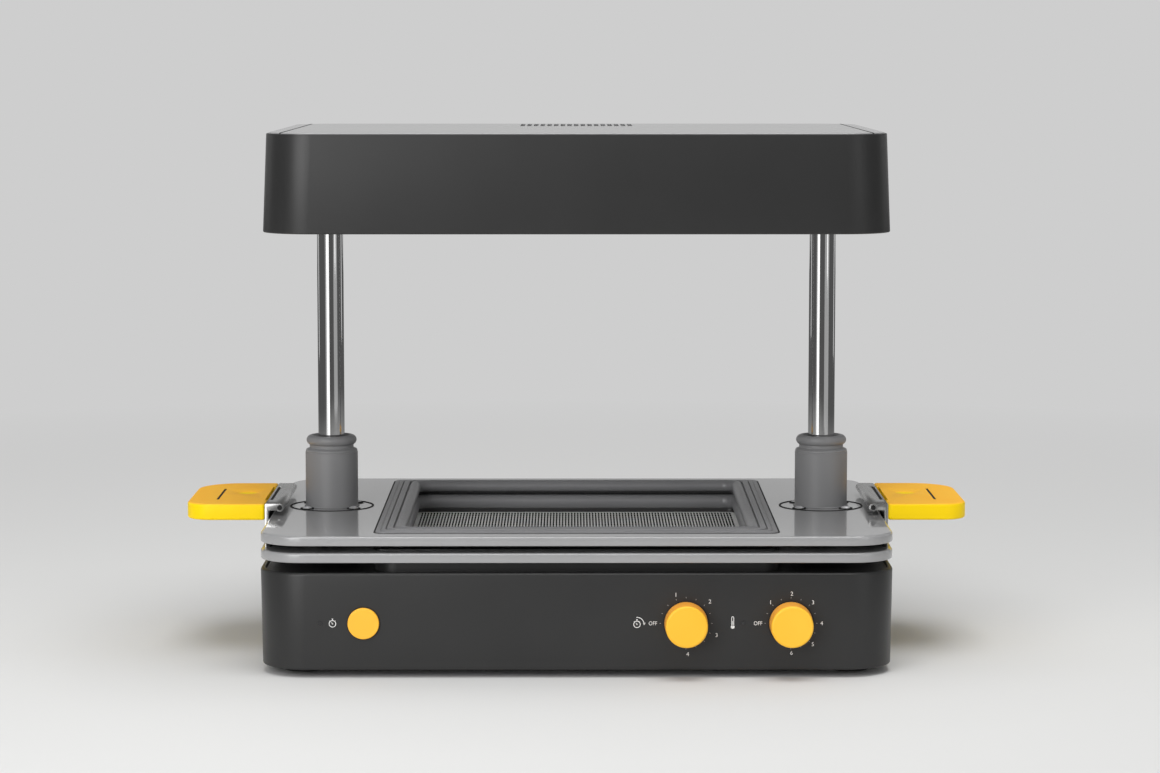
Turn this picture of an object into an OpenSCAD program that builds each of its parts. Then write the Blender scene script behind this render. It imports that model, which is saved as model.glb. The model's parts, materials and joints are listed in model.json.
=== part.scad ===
// Hobby vacuum forming machine: base with bed and controls, two columns, a pair of sliding
// trays with latches, and a heater box on top. Millimetres, +Z up, standing on the table.

/* [Size] */
// Side of the square forming area
form_w = 200; // [196:1:206]
// Distance from the forming area to each column's axis
col_gap = 50; // [49:0.5:52]
// Distance from a column's axis to the end of the trays
tray_end = 33.9; // [33.3:0.05:34.5]
// Distance from the forming area to the front of the trays
tray_front = 30; // [29:0.5:35]

/* [Base] */
// Overhang of the base casing beyond the trays' ends
base_over = 0.4; // [0.15:0.05:1]
// Corner radius of the base casing seen from above
base_r = 28; // [24:1:30]
// Wall thickness of the base casing
base_wall = 3; // [2.5:0.25:3.5]
// Height of the casing's lower edge above the table
base_lift = 4.5; // [4:0.25:5]
// Height of the casing's top rim above the table
base_top = 61.2; // [61.2:0.2:68]
// Depth of the deck below the rim
deck_drop = 1; // [0.5:0.25:1.5]
// Thickness of the deck
deck_t = 3; // [2.5:0.25:3.5]
// Width of the ledge that carries the deck
ledge_w = 4; // [3:0.5:5]
// Height of that ledge
ledge_h = 3; // [2:0.5:4]
// Thickness of the steel bottom plate
bottom_t = 2; // [1.5:0.25:2.5]
// Recess of the bottom plate above the casing's lower edge
bottom_recess = 1; // [0.75:0.25:1.5]
// Radius of a rubber foot
foot_r = 13; // [11:0.5:14]
// Distance of the feet from the front and the back of the casing
foot_inset = 32; // [30:1:34]
// Distance of the feet from the ends of the casing
foot_side = 25; // [24:1:28]
// Radius of the corner screw bosses
boss_r = 6; // [5.5:0.25:6.5]

/* [Bed] */
// Lap of the perforated bed plate beyond the forming area
bed_lap = 3; // [2:0.25:4]
// Thickness of the bed plate
bed_t = 1.2; // [1:0.1:1.5]
// Depth of the bed plate's top below the top of its surround
bed_sink = 2.8; // [2:0.1:3.2]
// Lap of the raised surround beyond the gasket
surround_lap = 1; // [0:0.25:3]
// Corner radius of the surround
surround_r = 14; // [10:1:18]
// Width of the step that carries the bed plate inside the forming area
well_in = 2; // [1:0.25:4]
// Radius of a bed hole
hole_r = 2; // [1.5:0.1:2.5]
// Number of bed holes along each side
hole_n = 15; // [12:1:16]
// Lap of the vacuum plenum beyond the forming area
plenum_lap = 6; // [4.5:0.25:8]
// Height of the plenum
plenum_h = 10; // [9:0.25:11]
// Wall thickness of the plenum and the duct
plenum_wall = 2.5; // [2:0.25:3]
// Width of the air duct
duct_w = 44; // [42:1:48]
// Length of the duct's opening into the plenum
duct_in = 46; // [36:1:51]
// Gap under the duct
duct_gap = 1.5; // [1:0.25:2]
// Bore radius of the rear hose port
hose_r = 16; // [15:0.25:16.5]
// Wall thickness of the hose port
hose_wall = 3; // [2.5:0.25:3]
// Height of the hose port's axis above the duct's underside
hose_up = 20; // [19.5:0.25:20.5]
// Length of the hose port inside the casing
hose_in = 15; // [13:0.5:17]

/* [Columns] */
// Radius of a column
col_r = 8; // [7.5:0.25:8.5]
// Radius of the hole down the middle of a column
col_bore_r = 3.2; // [3:0.1:3.6]
// Radius of the threaded stud on top of a column
stud_r = 5; // [4.5:0.25:5.5]
// Radius of a column socket
socket_r = 14; // [13:0.5:15]
// Room for the heater lead between a socket and a guide sleeve
lead_room = 6; // [5.5:0.25:8]
// Radius of a socket's flange
socket_flange_r = 22; // [21:0.5:23]
// Thickness of a socket's flange
socket_flange_t = 4; // [3:0.5:5]
// Height of a column cap
cap_h = 9.5; // [9:0.25:10]
// Radius of a column cap's flange
cap_flange_r = 20; // [19:0.5:21]
// Thickness of the flange of a column cap
cap_flange_t = 4; // [3:0.5:5]
// Thickness of a column nut
nut_t = 5; // [4:0.25:5]

/* [Trays] */
// Corner radius of the trays
tray_r = 25; // [22:1:28]
// Thickness of each tray
tray_t = 5.6; // [5.2:0.1:6]
// Gap between the base rim and the lower tray
tray_gap = 5.9; // [5.8:0.1:6.4]
// Gap between the two trays, where the sheet goes
sheet_gap = 4.2; // [4.1:0.1:4.6]
// Height that both trays travel up the columns
travel = 144; // [130:1:144]
// Height that the upper tray lifts off the lower one
lift = 16; // [12:0.5:16]

/* [Gaskets] */
// Width of a gasket from its outer edge to its inner bead
gasket_band = 17; // [16:0.5:18]
// Width of a gasket's flange outside the tray opening
gasket_lap = 4; // [3:0.25:5]
// Depth of the rebate that takes the flange
rebate = 2.5; // [2:0.1:3]
// Height that a flange stands proud of its tray
gasket_proud = 1.6; // [1.2:0.1:1.8]
// Width of the inner bead
bead_w = 6; // [5:0.5:7]
// Height that the inner bead stands above its tray
bead_up = 2; // [1.8:0.1:2]
// Height of the sealing lip of the lower gasket
lip_h = 1.1; // [0.9:0.1:1.2]

/* [Collars] */
// Radius of a collar
collar_r = 16; // [15.5:0.25:16.5]
// Height of the neck and bead on top of a collar
collar_head_h = 10.6; // [10:0.1:11]
// Height of the straight part of a collar
collar_body_h = 33.3; // [32:0.1:34]
// Radius of the neck under the bead
neck_r = 13.25; // [13:0.25:14]
// Radius of the rounded bead's section
collar_bead_r = 3.4; // [3.2:0.1:3.6]
// How far the bead stands out from the neck
bead_out = 2.05; // [1.8:0.05:2.2]
// Height of the cone between a collar's straight part and its neck
shoulder_h = 2.9; // [2.5:0.1:3.2]
// Radius of the collar's round flange
collar_flange_r = 25; // [24.5:0.25:26]
// Thickness of the collar's flange, let in flush
collar_flange_t = 3; // [2.5:0.25:3.2]
// Outer radius of the bushes
bush_r = 10; // [9.75:0.05:10.5]
// Radius of the circle of collar screws
collar_screw_circle = 20; // [19.5:0.25:20.5]
// Radius of a guide sleeve under the lower tray
sleeve_r = 13; // [12.5:0.25:13.5]
// Length of a guide sleeve below the lower tray
sleeve_drop = 23.1; // [22:0.1:23.4]
// Radius of a guide sleeve's flange
sleeve_flange_r = 20; // [19.75:0.25:20]
// Thickness of the flange of a guide sleeve
sleeve_flange_t = 3.5; // [3:0.1:3.6]

/* [Heater] */
// Room between the lifted upper tray and the heater box
window_room = 13.6; // [13.6:0.1:18]
// Room between the column studs and the top of the lid
lid_room = 7.6; // [7.6:0.1:12]
// Recess of the heater box behind the casing's sides
cover_in = 2.95; // [1.4:0.05:4.4]
// Corner radius of the heater box
cover_r = 28; // [25:1:30]
// Wall thickness of the heater cover
cover_wall = 2.5; // [2:0.25:3]
// Narrowing of the heater box from bottom to top
cover_taper = 4.2; // [3:0.1:5]
// Thickness of the lid
lid_t = 2.2; // [1.8:0.1:2.4]
// Width of the cover's rim around the lid
lid_rim = 1.2; // [1:0.1:1.5]
// Height that the lid stands above the rim
lid_proud = 0.6; // [0.3:0.1:0.8]
// Width of the strips at the ends of the lid
strip_w = 8; // [6:0.5:10]
// Width of the seam between a strip and the lid
seam_w = 0.8; // [0.5:0.1:1]
// Number of vent slots
vent_n = 17; // [12:1:20]
// Distance between vent slots
vent_pitch = 4.2; // [4:0.1:5]
// Width of a vent slot
vent_w = 2.8; // [2.4:0.1:3.1]
// Length of a vent slot
vent_len = 57; // [50:1:60]
// Distance of the vent slots behind the middle
vent_y = 82; // [79:1:84]
// Recess of the heater base plate
heater_recess = 1.5; // [1.4:0.1:2]
// Thickness of the heater base plate
heater_base_t = 2.5; // [2:0.25:2.75]
// Lap of the heat opening beyond the forming area
aperture_lap = 8; // [6:0.5:9]
// Lap of the reflector beyond the forming area
reflector_lap = 12; // [11:0.5:13]
// Height of the reflector
reflector_h = 24.9; // [23:0.1:25]
// Thickness of the reflector sheet
reflector_t = 1; // [0.8:0.1:1.2]
// Number of heating tubes
tube_n = 6; // [4:1:6]
// Radius of a heating tube
tube_r = 5; // [4:0.25:6]
// Openings along each side of the guard grille
guard_n = 11; // [8:1:13]
// Width of a bar of the guard grille
guard_bar = 1.6; // [1.2:0.1:2]
// Thickness of the heater frame
frame_t = 2.5; // [2:0.25:2.75]
// Distance from a column's axis to the end of the heater frame
frame_end = 22; // [21:0.5:23]
// Distance from the spacers to the frame's long edges
frame_edge = 8; // [7:0.5:10]
// Distance of the frame spacers from the reflector
spacer_gap = 12.5; // [12:0.25:13]
// Distance of the frame spacers from the middle, front to back
spacer_y = 60; // [55:1:62]
// Radius of a frame spacer
spacer_r = 4; // [3.5:0.25:4.25]
// Outer radius of a collar catch
catch_r = 23; // [22.5:0.25:23.5]
// Height of a collar catch
catch_h = 10; // [8:0.5:12]

/* [Latches] */
// How far the latches sit behind the middle of the trays
latch_y = 3.5; // [2:0.5:5]
// Length of a latch clip along the tray's side
clip_len = 95; // [87:1:99]
// Thickness of a latch clip's upright web
web_t = 2.1; // [1.8:0.1:2.4]
// Gap between the web and the tray's side
web_gap = 1.25; // [1.2:0.05:1.5]
// Gap between the hook's roll and the upper tray
hook_gap = 2.4; // [2.3:0.1:2.8]
// Radius of the roll at the end of the hook
roll_r = 2.4; // [2.2:0.1:2.6]
// Reach of the hook from the web's outer side to the middle of its roll
hook_reach = 9; // [8.6:0.1:9.4]
// Thickness of the hook's arm
arm_t = 4.1; // [3.5:0.1:4.6]
// Radius of a hinge knuckle
knuckle_r = 2.6; // [2.5:0.05:2.65]
// Radius of a hinge pin
pin_r = 1.2; // [1:0.05:1.3]
// Height of the hinge axis above the base rim
pivot_up = 2.9; // [2.9:0.05:3.1]
// Thickness of a hinge bracket's lug
lug_t = 4; // [3:0.5:5]
// Thickness of a hinge bracket's plate
bracket_t = 2; // [1.5:0.1:2.2]
// Width of a hinge bracket's plate
bracket_w = 10.5; // [9.5:0.25:10.75]
// Length of a handle along the tray's side
handle_len = 97; // [91:1:103]
// Width of a handle
handle_w = 47.75; // [44.75:0.5:50.75]
// Thickness of a handle
handle_t = 9.9; // [9:0.1:11]
// Radius of a handle's outer corner at the back
handle_r = 26; // [20:1:30]
// Radius of its outer corner at the front
handle_front_r = 15; // [12:1:20]
// Distance of the handle's groove from its root
groove_x = 29.7; // [28:0.1:34]
// Half length of that groove
groove_half = 25; // [20:1:27]
// Distance of the shallow thumb dish from the root
dish_x = 15; // [12:0.5:20]
// Distance of the dish behind the handle's middle
dish_y = 3; // [0:0.5:5]
// Length of the clip's tongue inside the handle
tongue_len = 22; // [18:1:26]
// Length of the slot at the handle's root
slot_len = 60; // [50:1:66]
// Width of the tongue
tongue_w = 40; // [34:1:46]
// Thickness of the tongue
tongue_t = 2; // [1.6:0.1:2.4]

/* [Controls] */
// Height of the controls' axes
control_z = 32; // [31:0.5:33]
// Distance of the start button from the left end of the casing
button_in = 61.3; // [57.4:0.5:65.4]
// Radius of the start button
button_r = 9.25; // [8.5:0.25:10]
// Height of the start button above the casing
button_proud = 1.5; // [1:0.1:1.8]
// Travel of the start button
button_travel = 2; // [1.5:0.1:2.2]
// Distance between the two knobs
knob_step = 60.5; // [59:0.5:62]
// Distance of the heater knob from the right end of the casing
knob_in = 60.8; // [59.4:0.5:63.4]
// Radius of the knobs
knob_r = 12.5; // [11.5:0.25:13]
// Height of the knobs above the casing
knob_h = 14; // [12:0.5:16]
// Radius of the knob spindles
spindle_r = 3; // [2.5:0.1:3.2]
// Radius of the body of a rotary control
rotary_r = 11; // [10:0.5:12]
// Distance of the control board behind the front wall
board_gap = 19; // [18:0.5:20]
// Thickness of a circuit board
board_t = 1.6; // [1.4:0.1:2]
// Radius of the indicator windows
lamp_r = 1.3; // [1.1:0.1:1.5]
// Distance of the left indicator window from the start button
lamp_a_step = 25; // [23:0.5:26]
// Distance of the right indicator window from the heater knob
lamp_b_step = 27.5; // [25.5:0.5:28.5]

/* [Rear] */
// Distance of the mains inlet from the right end of the casing
inlet_in = 79.3; // [77.4:0.5:81.4]
// Distance between the mains inlet and the mains rocker
rocker_step = 29; // [27:0.5:30]
// Width of the mains inlet's body
inlet_w = 27; // [26:0.5:28]
// Height of the mains inlet's body
inlet_h = 19.6; // [19:0.2:21]
// Depth of the mains inlet's body
inlet_d = 21; // [20:0.5:22]
// Border of the rear fittings' flanges
flange_lap = 2.4; // [2:0.1:2.6]
// Thickness of those flanges
flange_t = 2.2; // [1.8:0.1:2.4]
// Depth of the socket in the mains inlet
socket_d = 16; // [14:0.5:17]
// Half height of the power rocker
rocker_half = 8.3; // [7.5:0.1:8.4]
// Width of the power rocker
rocker_w = 12.6; // [11:0.2:13]
// Depth of the rocker's pivot behind the rear face
rocker_sink = 9; // [8.5:0.1:9.5]

/* [Boards] */
// Width of the power board
power_w = 80; // [78:1:82]
// Depth of the power board
power_d = 115; // [112:1:116]
// Height of the posts under the power board
power_post_h = 8; // [6:0.5:9]
// Width of the transformer
coil_w = 34; // [30:1:34]
// Depth of the transformer
coil_d = 28; // [24:1:28]
// Height of the transformer
coil_h = 18; // [15:1:20]
// Width of the relay
relay_w = 20; // [16:1:22]
// Depth of the relay
relay_d = 18; // [15:1:20]
// Height of the relay
relay_h = 15; // [13:1:18]
// Radius of the choke
choke_r = 9; // [7:0.5:9]
// Height of the choke
choke_h = 16; // [12:1:18]
// Radius of a capacitor
cap_r = 5; // [4:0.25:5.5]
// Height of a capacitor
capacitor_h = 14; // [11:1:16]
// Width of a terminal block
block_w = 19; // [16:1:19]
// Depth of a terminal block
block_d = 10; // [8:0.5:11]
// Thickness of the ribbon cable
ribbon_t = 1; // [0.8:0.1:1.2]
// Width of the ribbon cable
ribbon_w = 20; // [16:1:24]
// Radius of the heater lead
lead_r = 1.7; // [1.5:0.1:1.8]

/* [Fits] */
// Clearance around fixed pieces that fit together
fit = 0.05; // [0.03:0.01:0.08]
// Clearance around sheet pieces let into a casing
loose = 0.3; // [0.2:0.05:0.4]
// Running clearance of shafts, pins and bushes
run = 0.05; // [0.03:0.01:0.08]
// Gap kept between pieces that move past each other
free = 0.3; // [0.3:0.05:0.5]
// Height of a screw head
head_h = 1.4; // [1.2:0.1:1.4]
// Radius of a small screw's shank
screw_r = 1.5; // [1.3:0.1:1.6]
// Radius of a small screw's head
head_r = 2.8; // [2.4:0.1:3]

/* [Hidden] */
$fn = 64;
body_y = knob_h / 2;
casing_colour = [0.22, 0.22, 0.22];
tray_colour = [0.62, 0.62, 0.62];
collar_colour = [0.45, 0.45, 0.45];
gasket_colour = [0.32, 0.32, 0.33];
yellow = [1.0, 0.78, 0.16];
steel_colour = [0.75, 0.75, 0.76];
brass_colour = [0.8, 0.65, 0.3];
board_colour = [0.1, 0.35, 0.2];
rubber_colour = [0.1, 0.1, 0.1];
ceramic_colour = [0.9, 0.88, 0.82];

col_x = form_w / 2 + col_gap;
tray_w = 2 * (col_x + tray_end);
tray_d = form_w + 2 * tray_front;
base_w = tray_w + 2 * base_over;
base_d = tray_d;
front = -base_d / 2;
rear = base_d / 2;
inner_w = base_w - 2 * base_wall;
inner_d = base_d - 2 * base_wall;
inner_r = base_r - base_wall;
bottom_z = base_lift + bottom_recess;
floor_z = bottom_z + bottom_t;
deck_z = base_top - deck_drop - deck_t;
deck_top = deck_z + deck_t;
boss_x = base_w / 2 - base_r + (inner_r - 5) * cos(45);
boss_y = base_d / 2 - base_r + (inner_r - 5) * sin(45);
foot_x = base_w / 2 - foot_side;
foot_y = base_d / 2 - foot_inset;
stem_r = 3;

lower_z = base_top + tray_gap;
lower_top = lower_z + tray_t;
upper_z = lower_top + sheet_gap;
upper_top = upper_z + tray_t;
gasket_in = form_w;
gasket_w = form_w + 2 * gasket_band;
opening_w = gasket_w - 2 * gasket_lap;
upper_low = lower_top + gasket_proud + lip_h + free - upper_z;
surround_top = lower_z - free;
bed_top = surround_top - bed_sink;
bed_z = bed_top - bed_t;
surround_w = gasket_w + 2 * surround_lap;
well_w = form_w - 2 * well_in;
bed_w = form_w + 2 * bed_lap;
skirt_w = bed_w - 2 * loose - 0.4;
skirt_gap = 1;
plenum_w = form_w + 2 * plenum_lap;
plenum_z = deck_z - plenum_h;
duct_y = plenum_w / 2 - duct_in;
duct_z = floor_z + duct_gap;
duct_back = rear - base_wall - hose_in;
hose_z = duct_z + hose_up;
hose_flange_r = hose_r + hose_wall + 2;
hose_flange_t = 2.3;

collar_h = collar_body_h + collar_head_h;
collar_top = upper_top + collar_h;
neck_z = upper_top + collar_body_h + 0.8;
collar_bead_z = collar_top - collar_bead_r;
collar_bead_mid = neck_r + bead_out - collar_bead_r;
sleeve_z = lower_z - sleeve_drop;

socket_h = sleeve_z - lead_room - floor_z;

heater_z = upper_top + travel + lift + window_room;
plate_z = heater_z + heater_recess;
plate_top = plate_z + heater_base_t;
reflector_top = plate_top + reflector_h;
cap_z = collar_top + travel + lift + 1.1;
frame_z = cap_z + cap_h;
frame_top = frame_z + frame_t;
stud_top = frame_top + nut_t + 1.5;
heater_top = stud_top + lid_room;
heater_h = heater_top - heater_z;
lid_z = heater_top - lid_t;
rim_top = heater_top - lid_proud;
cover_w = base_w - 2 * cover_in;
cover_d = base_d - 2 * cover_in;
aperture_w = form_w + 2 * aperture_lap;
reflector_w = form_w + 2 * reflector_lap;
insulation_t = frame_z - reflector_top - 1;
tube_pitch = (reflector_w - 20) / tube_n;
holder_half = reflector_w / 2 - 8;
holder_t = 1.8 * tube_r;
spacer_x = reflector_w / 2 + spacer_gap;
frame_w = 2 * (col_x + frame_end);
frame_d = 2 * (spacer_y + frame_edge);
tube_z = plate_top + reflector_h / 2;
socket_circle = socket_r + 4;
sleeve_circle = (sleeve_r + sleeve_flange_r) / 2;
bracket_screw_y = 32;
tray_hole = 4;
cutout_x = reflector_w / 2 - 42;
cutout_y = reflector_w / 2 - 62;
cutout_r = 8;
plunger_r = 1.6;
plunger_z = neck_z + travel + 2.2;
cover_ledge_w = 5;
cover_ledge_h = 3;
lid_w = cover_w - cover_taper - 2 * lid_rim;
lid_d = cover_d - cover_taper - 2 * lid_rim;
lid_r = cover_r - lid_rim;
catch_in_r = collar_r + 0.5;

web_x = tray_w / 2 + web_gap;
handle_x = web_x + web_t;
arm_top = upper_top + hook_gap + 2 * roll_r;
pivot_x = web_x + web_t / 3;
pivot_z = base_top + pivot_up;
roll_x = handle_x - hook_reach;
roll_z = upper_top + hook_gap + roll_r;
handle_z = arm_top - handle_t;
tongue_z = handle_z + 4;
bracket_x = pivot_x - knuckle_r - 0.5 - bracket_w;

button_x = button_in - base_w / 2;
heater_x = base_w / 2 - knob_in;
timer_x = heater_x - knob_step;
lamp_a_x = button_x - lamp_a_step;
lamp_b_x = heater_x - lamp_b_step;
inlet_x = base_w / 2 - inlet_in;
rocker_x = inlet_x - rocker_step;
board_y = front + base_wall + board_gap;
board_z = 12;
board_h = 40;
board_x0 = lamp_a_x - 4;
board_x1 = heater_x + 24;
post_r = 3.5;
post_x = [lamp_a_x + 4, heater_x + 18];
post_z = [board_z + 5, board_z + board_h - 4];
bush_nose_r = 4.5;
panel_x = (inlet_x + rocker_x) / 2;
panel_w = 66;
panel_h = 28;
power_x = inlet_x - 25;
power_y = rear - 92.5;
power_z = floor_z + power_post_h;
power_top = power_z + board_t;
power_front = power_y - power_d / 2 + 0.5;
lead_z = sleeve_z - lead_room / 2;
lead_drop_x = col_x - 22;
lead_low_z = power_top + 7;
heat_block_x = power_x + 29;
inlet_block_y = rear - 42.5;
ribbon_x = power_x - 19;

module at_body() translate([0, body_y, 0]) children();

module at_latch() translate([0, body_y + latch_y, 0]) children();

module both_sides() for (s = [-1, 1]) translate([s * col_x, 0, 0]) children();

module right_and_left() {
    children();
    mirror([1, 0, 0]) children();
}

module outline(w, d, r) {
    square([w - 2 * r, d], center = true);
    square([w, d - 2 * r], center = true);
    for (x = [-1, 1], y = [-1, 1]) translate([x * (w / 2 - r), y * (d / 2 - r)]) circle(r);
}

module slab(w, d, r, z, h) translate([0, 0, z]) linear_extrude(h) outline(w, d, r);

module ring(w, d, r, wall, z, h) difference() {
    slab(w, d, r, z, h);
    slab(w - 2 * wall, d - 2 * wall, max(r - wall, 0.5), z - 1, h + 2);
}

module rod_y(x, z, y0, y1, r) translate([x, y0, z]) rotate([-90, 0, 0]) cylinder(r = r, h = y1 - y0);

module rod_x(x0, x1, y, z, r) translate([x0, y, z]) rotate([0, 90, 0]) cylinder(r = r, h = x1 - x0);

module rod_z(x, y, z0, z1, r) translate([x, y, z0]) cylinder(r = r, h = z1 - z0);

module tube_z(x, y, z0, z1, r, bore) difference() {
    rod_z(x, y, z0, z1, r);
    rod_z(x, y, z0 - 1, z1 + 1, bore);
}

module block(x0, x1, y0, y1, z0, z1) translate([x0, y0, z0]) cube([x1 - x0, y1 - y0, z1 - z0]);

module at_corners(x, y) for (i = [-1, 1], j = [-1, 1]) translate([i * x, j * y, 0]) children();

module around(n, r, turn = 45) {
    for (i = [0 : n - 1]) rotate(turn + i * 360 / n) translate([r, 0, 0]) children();
}

module socket_screw_places() both_sides() around(3, socket_circle, 30) children();

module sleeve_screw_places() both_sides() around(4, sleeve_circle) children();

module bracket_screw_places() right_and_left() for (y = [-1, 1]) {
    translate([bracket_x + bracket_w / 2, latch_y + y * bracket_screw_y, 0]) children();
}

// Base

module rear_openings() {
    rod_y(0, hose_z, rear - base_wall - 1, rear + 1, hose_r + hose_wall + fit);
    translate([panel_x, rear, control_z]) {
        cube([panel_w - 4, 2 * flange_t, panel_h - 2], center = true);
    }
    inlet_block(rear - 20, rear + 1, fit);
    rocker_block(rear - 20, rear + 1, fit);
}

module inlet_block(y0, y1, grow = 0) {
    block(inlet_x - inlet_w / 2 - grow, inlet_x + inlet_w / 2 + grow, y0, y1,
        control_z - inlet_h / 2 - grow, control_z + inlet_h / 2 + grow);
}

module rocker_block(y0, y1, grow = 0) {
    half = rocker_w / 2 + free + 1.5 + grow;
    block(rocker_x - half, rocker_x + half, y0, y1,
        control_z - inlet_h / 2 - 1 - grow, control_z + inlet_h / 2 + 1 + grow);
}

module base_shell() color(casing_colour) at_body() difference() {
    union() {
        ring(base_w, base_d, base_r, base_wall, base_lift, base_top - base_lift);
        ring(inner_w + 1, inner_d + 1, inner_r + 0.5, ledge_w + 0.5, deck_z - ledge_h, ledge_h);
        at_corners(boss_x, boss_y) rod_z(0, 0, floor_z, deck_z, boss_r);
        for (x = post_x, z = post_z) rod_y(x, z, front + 1, board_y, post_r);
        block(panel_x - panel_w / 2, panel_x + panel_w / 2, rear - base_wall - 3, rear - 1,
            control_z - panel_h / 2, control_z + panel_h / 2);
    }
    at_corners(boss_x, boss_y) rod_z(0, 0, floor_z - 1, floor_z + 14, screw_r + fit);
    for (x = post_x, z = post_z) rod_y(x, z, board_y - 10, board_y + 1, screw_r + fit);
    rod_y(button_x, control_z, front - 1, front + base_wall + 1, button_r + 0.4);
    for (x = [timer_x, heater_x]) rod_y(x, control_z, front - 1, front + base_wall + 1, bush_nose_r + fit);
    for (x = [lamp_a_x, lamp_b_x]) rod_y(x, control_z, front - 1, front + base_wall + 1, lamp_r + fit);
    rear_openings();
}

module base_deck() color(casing_colour) at_body() difference() {
    slab(inner_w - 2 * loose, inner_d - 2 * loose, inner_r - loose, deck_z, deck_t);
    slab(well_w, well_w, 6, deck_z - 1, deck_t + 2);
    both_sides() rod_z(0, 0, deck_z - 1, deck_top + 1, sleeve_r + 1);
}

module bottom_plate() color(casing_colour) at_body() difference() {
    union() {
        slab(inner_w - 2 * loose, inner_d - 2 * loose, inner_r - loose, bottom_z, bottom_t);
        translate([power_x, power_y, 0]) at_corners(power_w / 2 - 4, power_d / 2 - 4) {
            rod_z(0, 0, bottom_z + 1, power_z, post_r);
        }
    }
    at_corners(boss_x, boss_y) rod_z(0, 0, bottom_z - 1, floor_z + 1, screw_r + 0.3);
    at_corners(foot_x, foot_y) rod_z(0, 0, bottom_z - 1, floor_z + 1, stem_r + fit);
    socket_screw_places() rod_z(0, 0, bottom_z - 1, floor_z + 1, screw_r + fit);
    translate([power_x, power_y, 0]) at_corners(power_w / 2 - 4, power_d / 2 - 4) {
        rod_z(0, 0, floor_z, power_z + 1, screw_r + fit);
    }
}

module feet() color(rubber_colour) at_body() at_corners(foot_x, foot_y) {
    rod_z(0, 0, 0, 1, foot_r - 1);
    rod_z(0, 0, 0.9, bottom_z, foot_r);
    rod_z(0, 0, bottom_z - 0.1, floor_z + 0.1, stem_r);
    translate([0, 0, floor_z]) cylinder(r1 = stem_r + 1.5, r2 = stem_r - 1, h = 2.5);
}

module screw_up(z, len, r = screw_r) {
    rod_z(0, 0, z - head_h, z, r + 1.3);
    rod_z(0, 0, z - 0.1, z + len, r);
}

module screw_down(z, len, r = screw_r) {
    rod_z(0, 0, z, z + head_h, r + 1.3);
    rod_z(0, 0, z - len, z + 0.1, r);
}

module case_screws() color(steel_colour) at_body() {
    at_corners(boss_x, boss_y) screw_up(bottom_z, bottom_t + 12);
    for (x = post_x, z = post_z) {
        rod_y(x, z, board_y + board_t, board_y + board_t + head_h, head_r);
        rod_y(x, z, board_y - 8, board_y + board_t + 0.1, screw_r);
    }
    translate([power_x, power_y, 0]) at_corners(power_w / 2 - 4, power_d / 2 - 4) {
        screw_down(power_top, board_t + power_post_h - 0.5);
    }
    socket_screw_places() screw_down(floor_z + socket_flange_t, socket_flange_t + bottom_t);
    at_corners(spacer_x, spacer_y) {
        screw_up(plate_z, heater_base_t + 8);
        screw_down(frame_top, frame_t + 8);
    }
    cover_screw_places() screw_up(plate_z, heater_base_t + 2);
}

// Bed and air path

module bed_surround() color(casing_colour) at_body() difference() {
    slab(surround_w, surround_w, surround_r, deck_top, surround_top - deck_top);
    slab(well_w, well_w, 6, deck_top - 1, surround_top - deck_top + 2);
    slab(bed_w + 2 * fit, bed_w + 2 * fit, 6 + fit, bed_z, surround_top - bed_z + 1);
}

module bed_plate() color(steel_colour) at_body() difference() {
    slab(bed_w, bed_w, 6, bed_z, bed_t);
    pitch = (well_w - 8) / hole_n;
    for (i = [0 : hole_n - 1], j = [0 : hole_n - 1]) {
        rod_z((i - (hole_n - 1) / 2) * pitch, (j - (hole_n - 1) / 2) * pitch, bed_z - 1, bed_top + 1, hole_r);
    }
}

module vacuum_plenum() color(casing_colour) at_body() difference() {
    slab(plenum_w, plenum_w, 10, plenum_z, plenum_h);
    slab(plenum_w - 2 * plenum_wall, plenum_w - 2 * plenum_wall, 10 - plenum_wall,
        plenum_z + plenum_wall, plenum_h);
    block(-duct_w / 2 + plenum_wall, duct_w / 2 - plenum_wall, duct_y + plenum_wall,
        plenum_w / 2 - plenum_wall, plenum_z - 1, plenum_z + plenum_wall + 1);
}

module air_duct() color(casing_colour) at_body() difference() {
    block(-duct_w / 2, duct_w / 2, duct_y, duct_back, duct_z, plenum_z);
    block(-duct_w / 2 + plenum_wall, duct_w / 2 - plenum_wall, duct_y + plenum_wall,
        duct_back - plenum_wall, duct_z + plenum_wall, plenum_z - plenum_wall);
    block(-duct_w / 2 + plenum_wall, duct_w / 2 - plenum_wall, duct_y + plenum_wall,
        plenum_w / 2 - plenum_wall, plenum_z - plenum_wall - 1, plenum_z + 1);
    rod_y(0, hose_z, duct_back - plenum_wall - 1, duct_back + 1, hose_r);
}

module hose_port() color(rubber_colour) at_body() difference() {
    union() {
        rod_y(0, hose_z, duct_back, rear, hose_r + hose_wall);
        rod_y(0, hose_z, rear - base_wall - hose_flange_t, rear - base_wall, hose_flange_r);
    }
    rod_y(0, hose_z, duct_back - 1, rear + 1, hose_r);
}

// Rear fittings

module mains_inlet() color(rubber_colour) at_body() difference() {
    union() {
        inlet_block(rear - inlet_d, rear);
        block(inlet_x - inlet_w / 2 - flange_lap, inlet_x + inlet_w / 2 + flange_lap, rear - flange_t, rear,
            control_z - inlet_h / 2 - flange_lap, control_z + inlet_h / 2 + flange_lap);
    }
    block(inlet_x - 12.2, inlet_x + 12.2, rear - socket_d, rear + 1, control_z - 8.3, control_z + 8.3);
    inlet_pin_places() cube([4 + 2 * fit, 60, 2 + 2 * fit], center = true);
}

module inlet_pin_places() {
    for (p = [[-7, -1], [0, 3], [7, -1]]) translate([inlet_x + p[0], rear - 15, control_z + p[1]]) children();
}

module inlet_pins() color(brass_colour) at_body() inlet_pin_places() cube([4, 22, 2], center = true);

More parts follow.
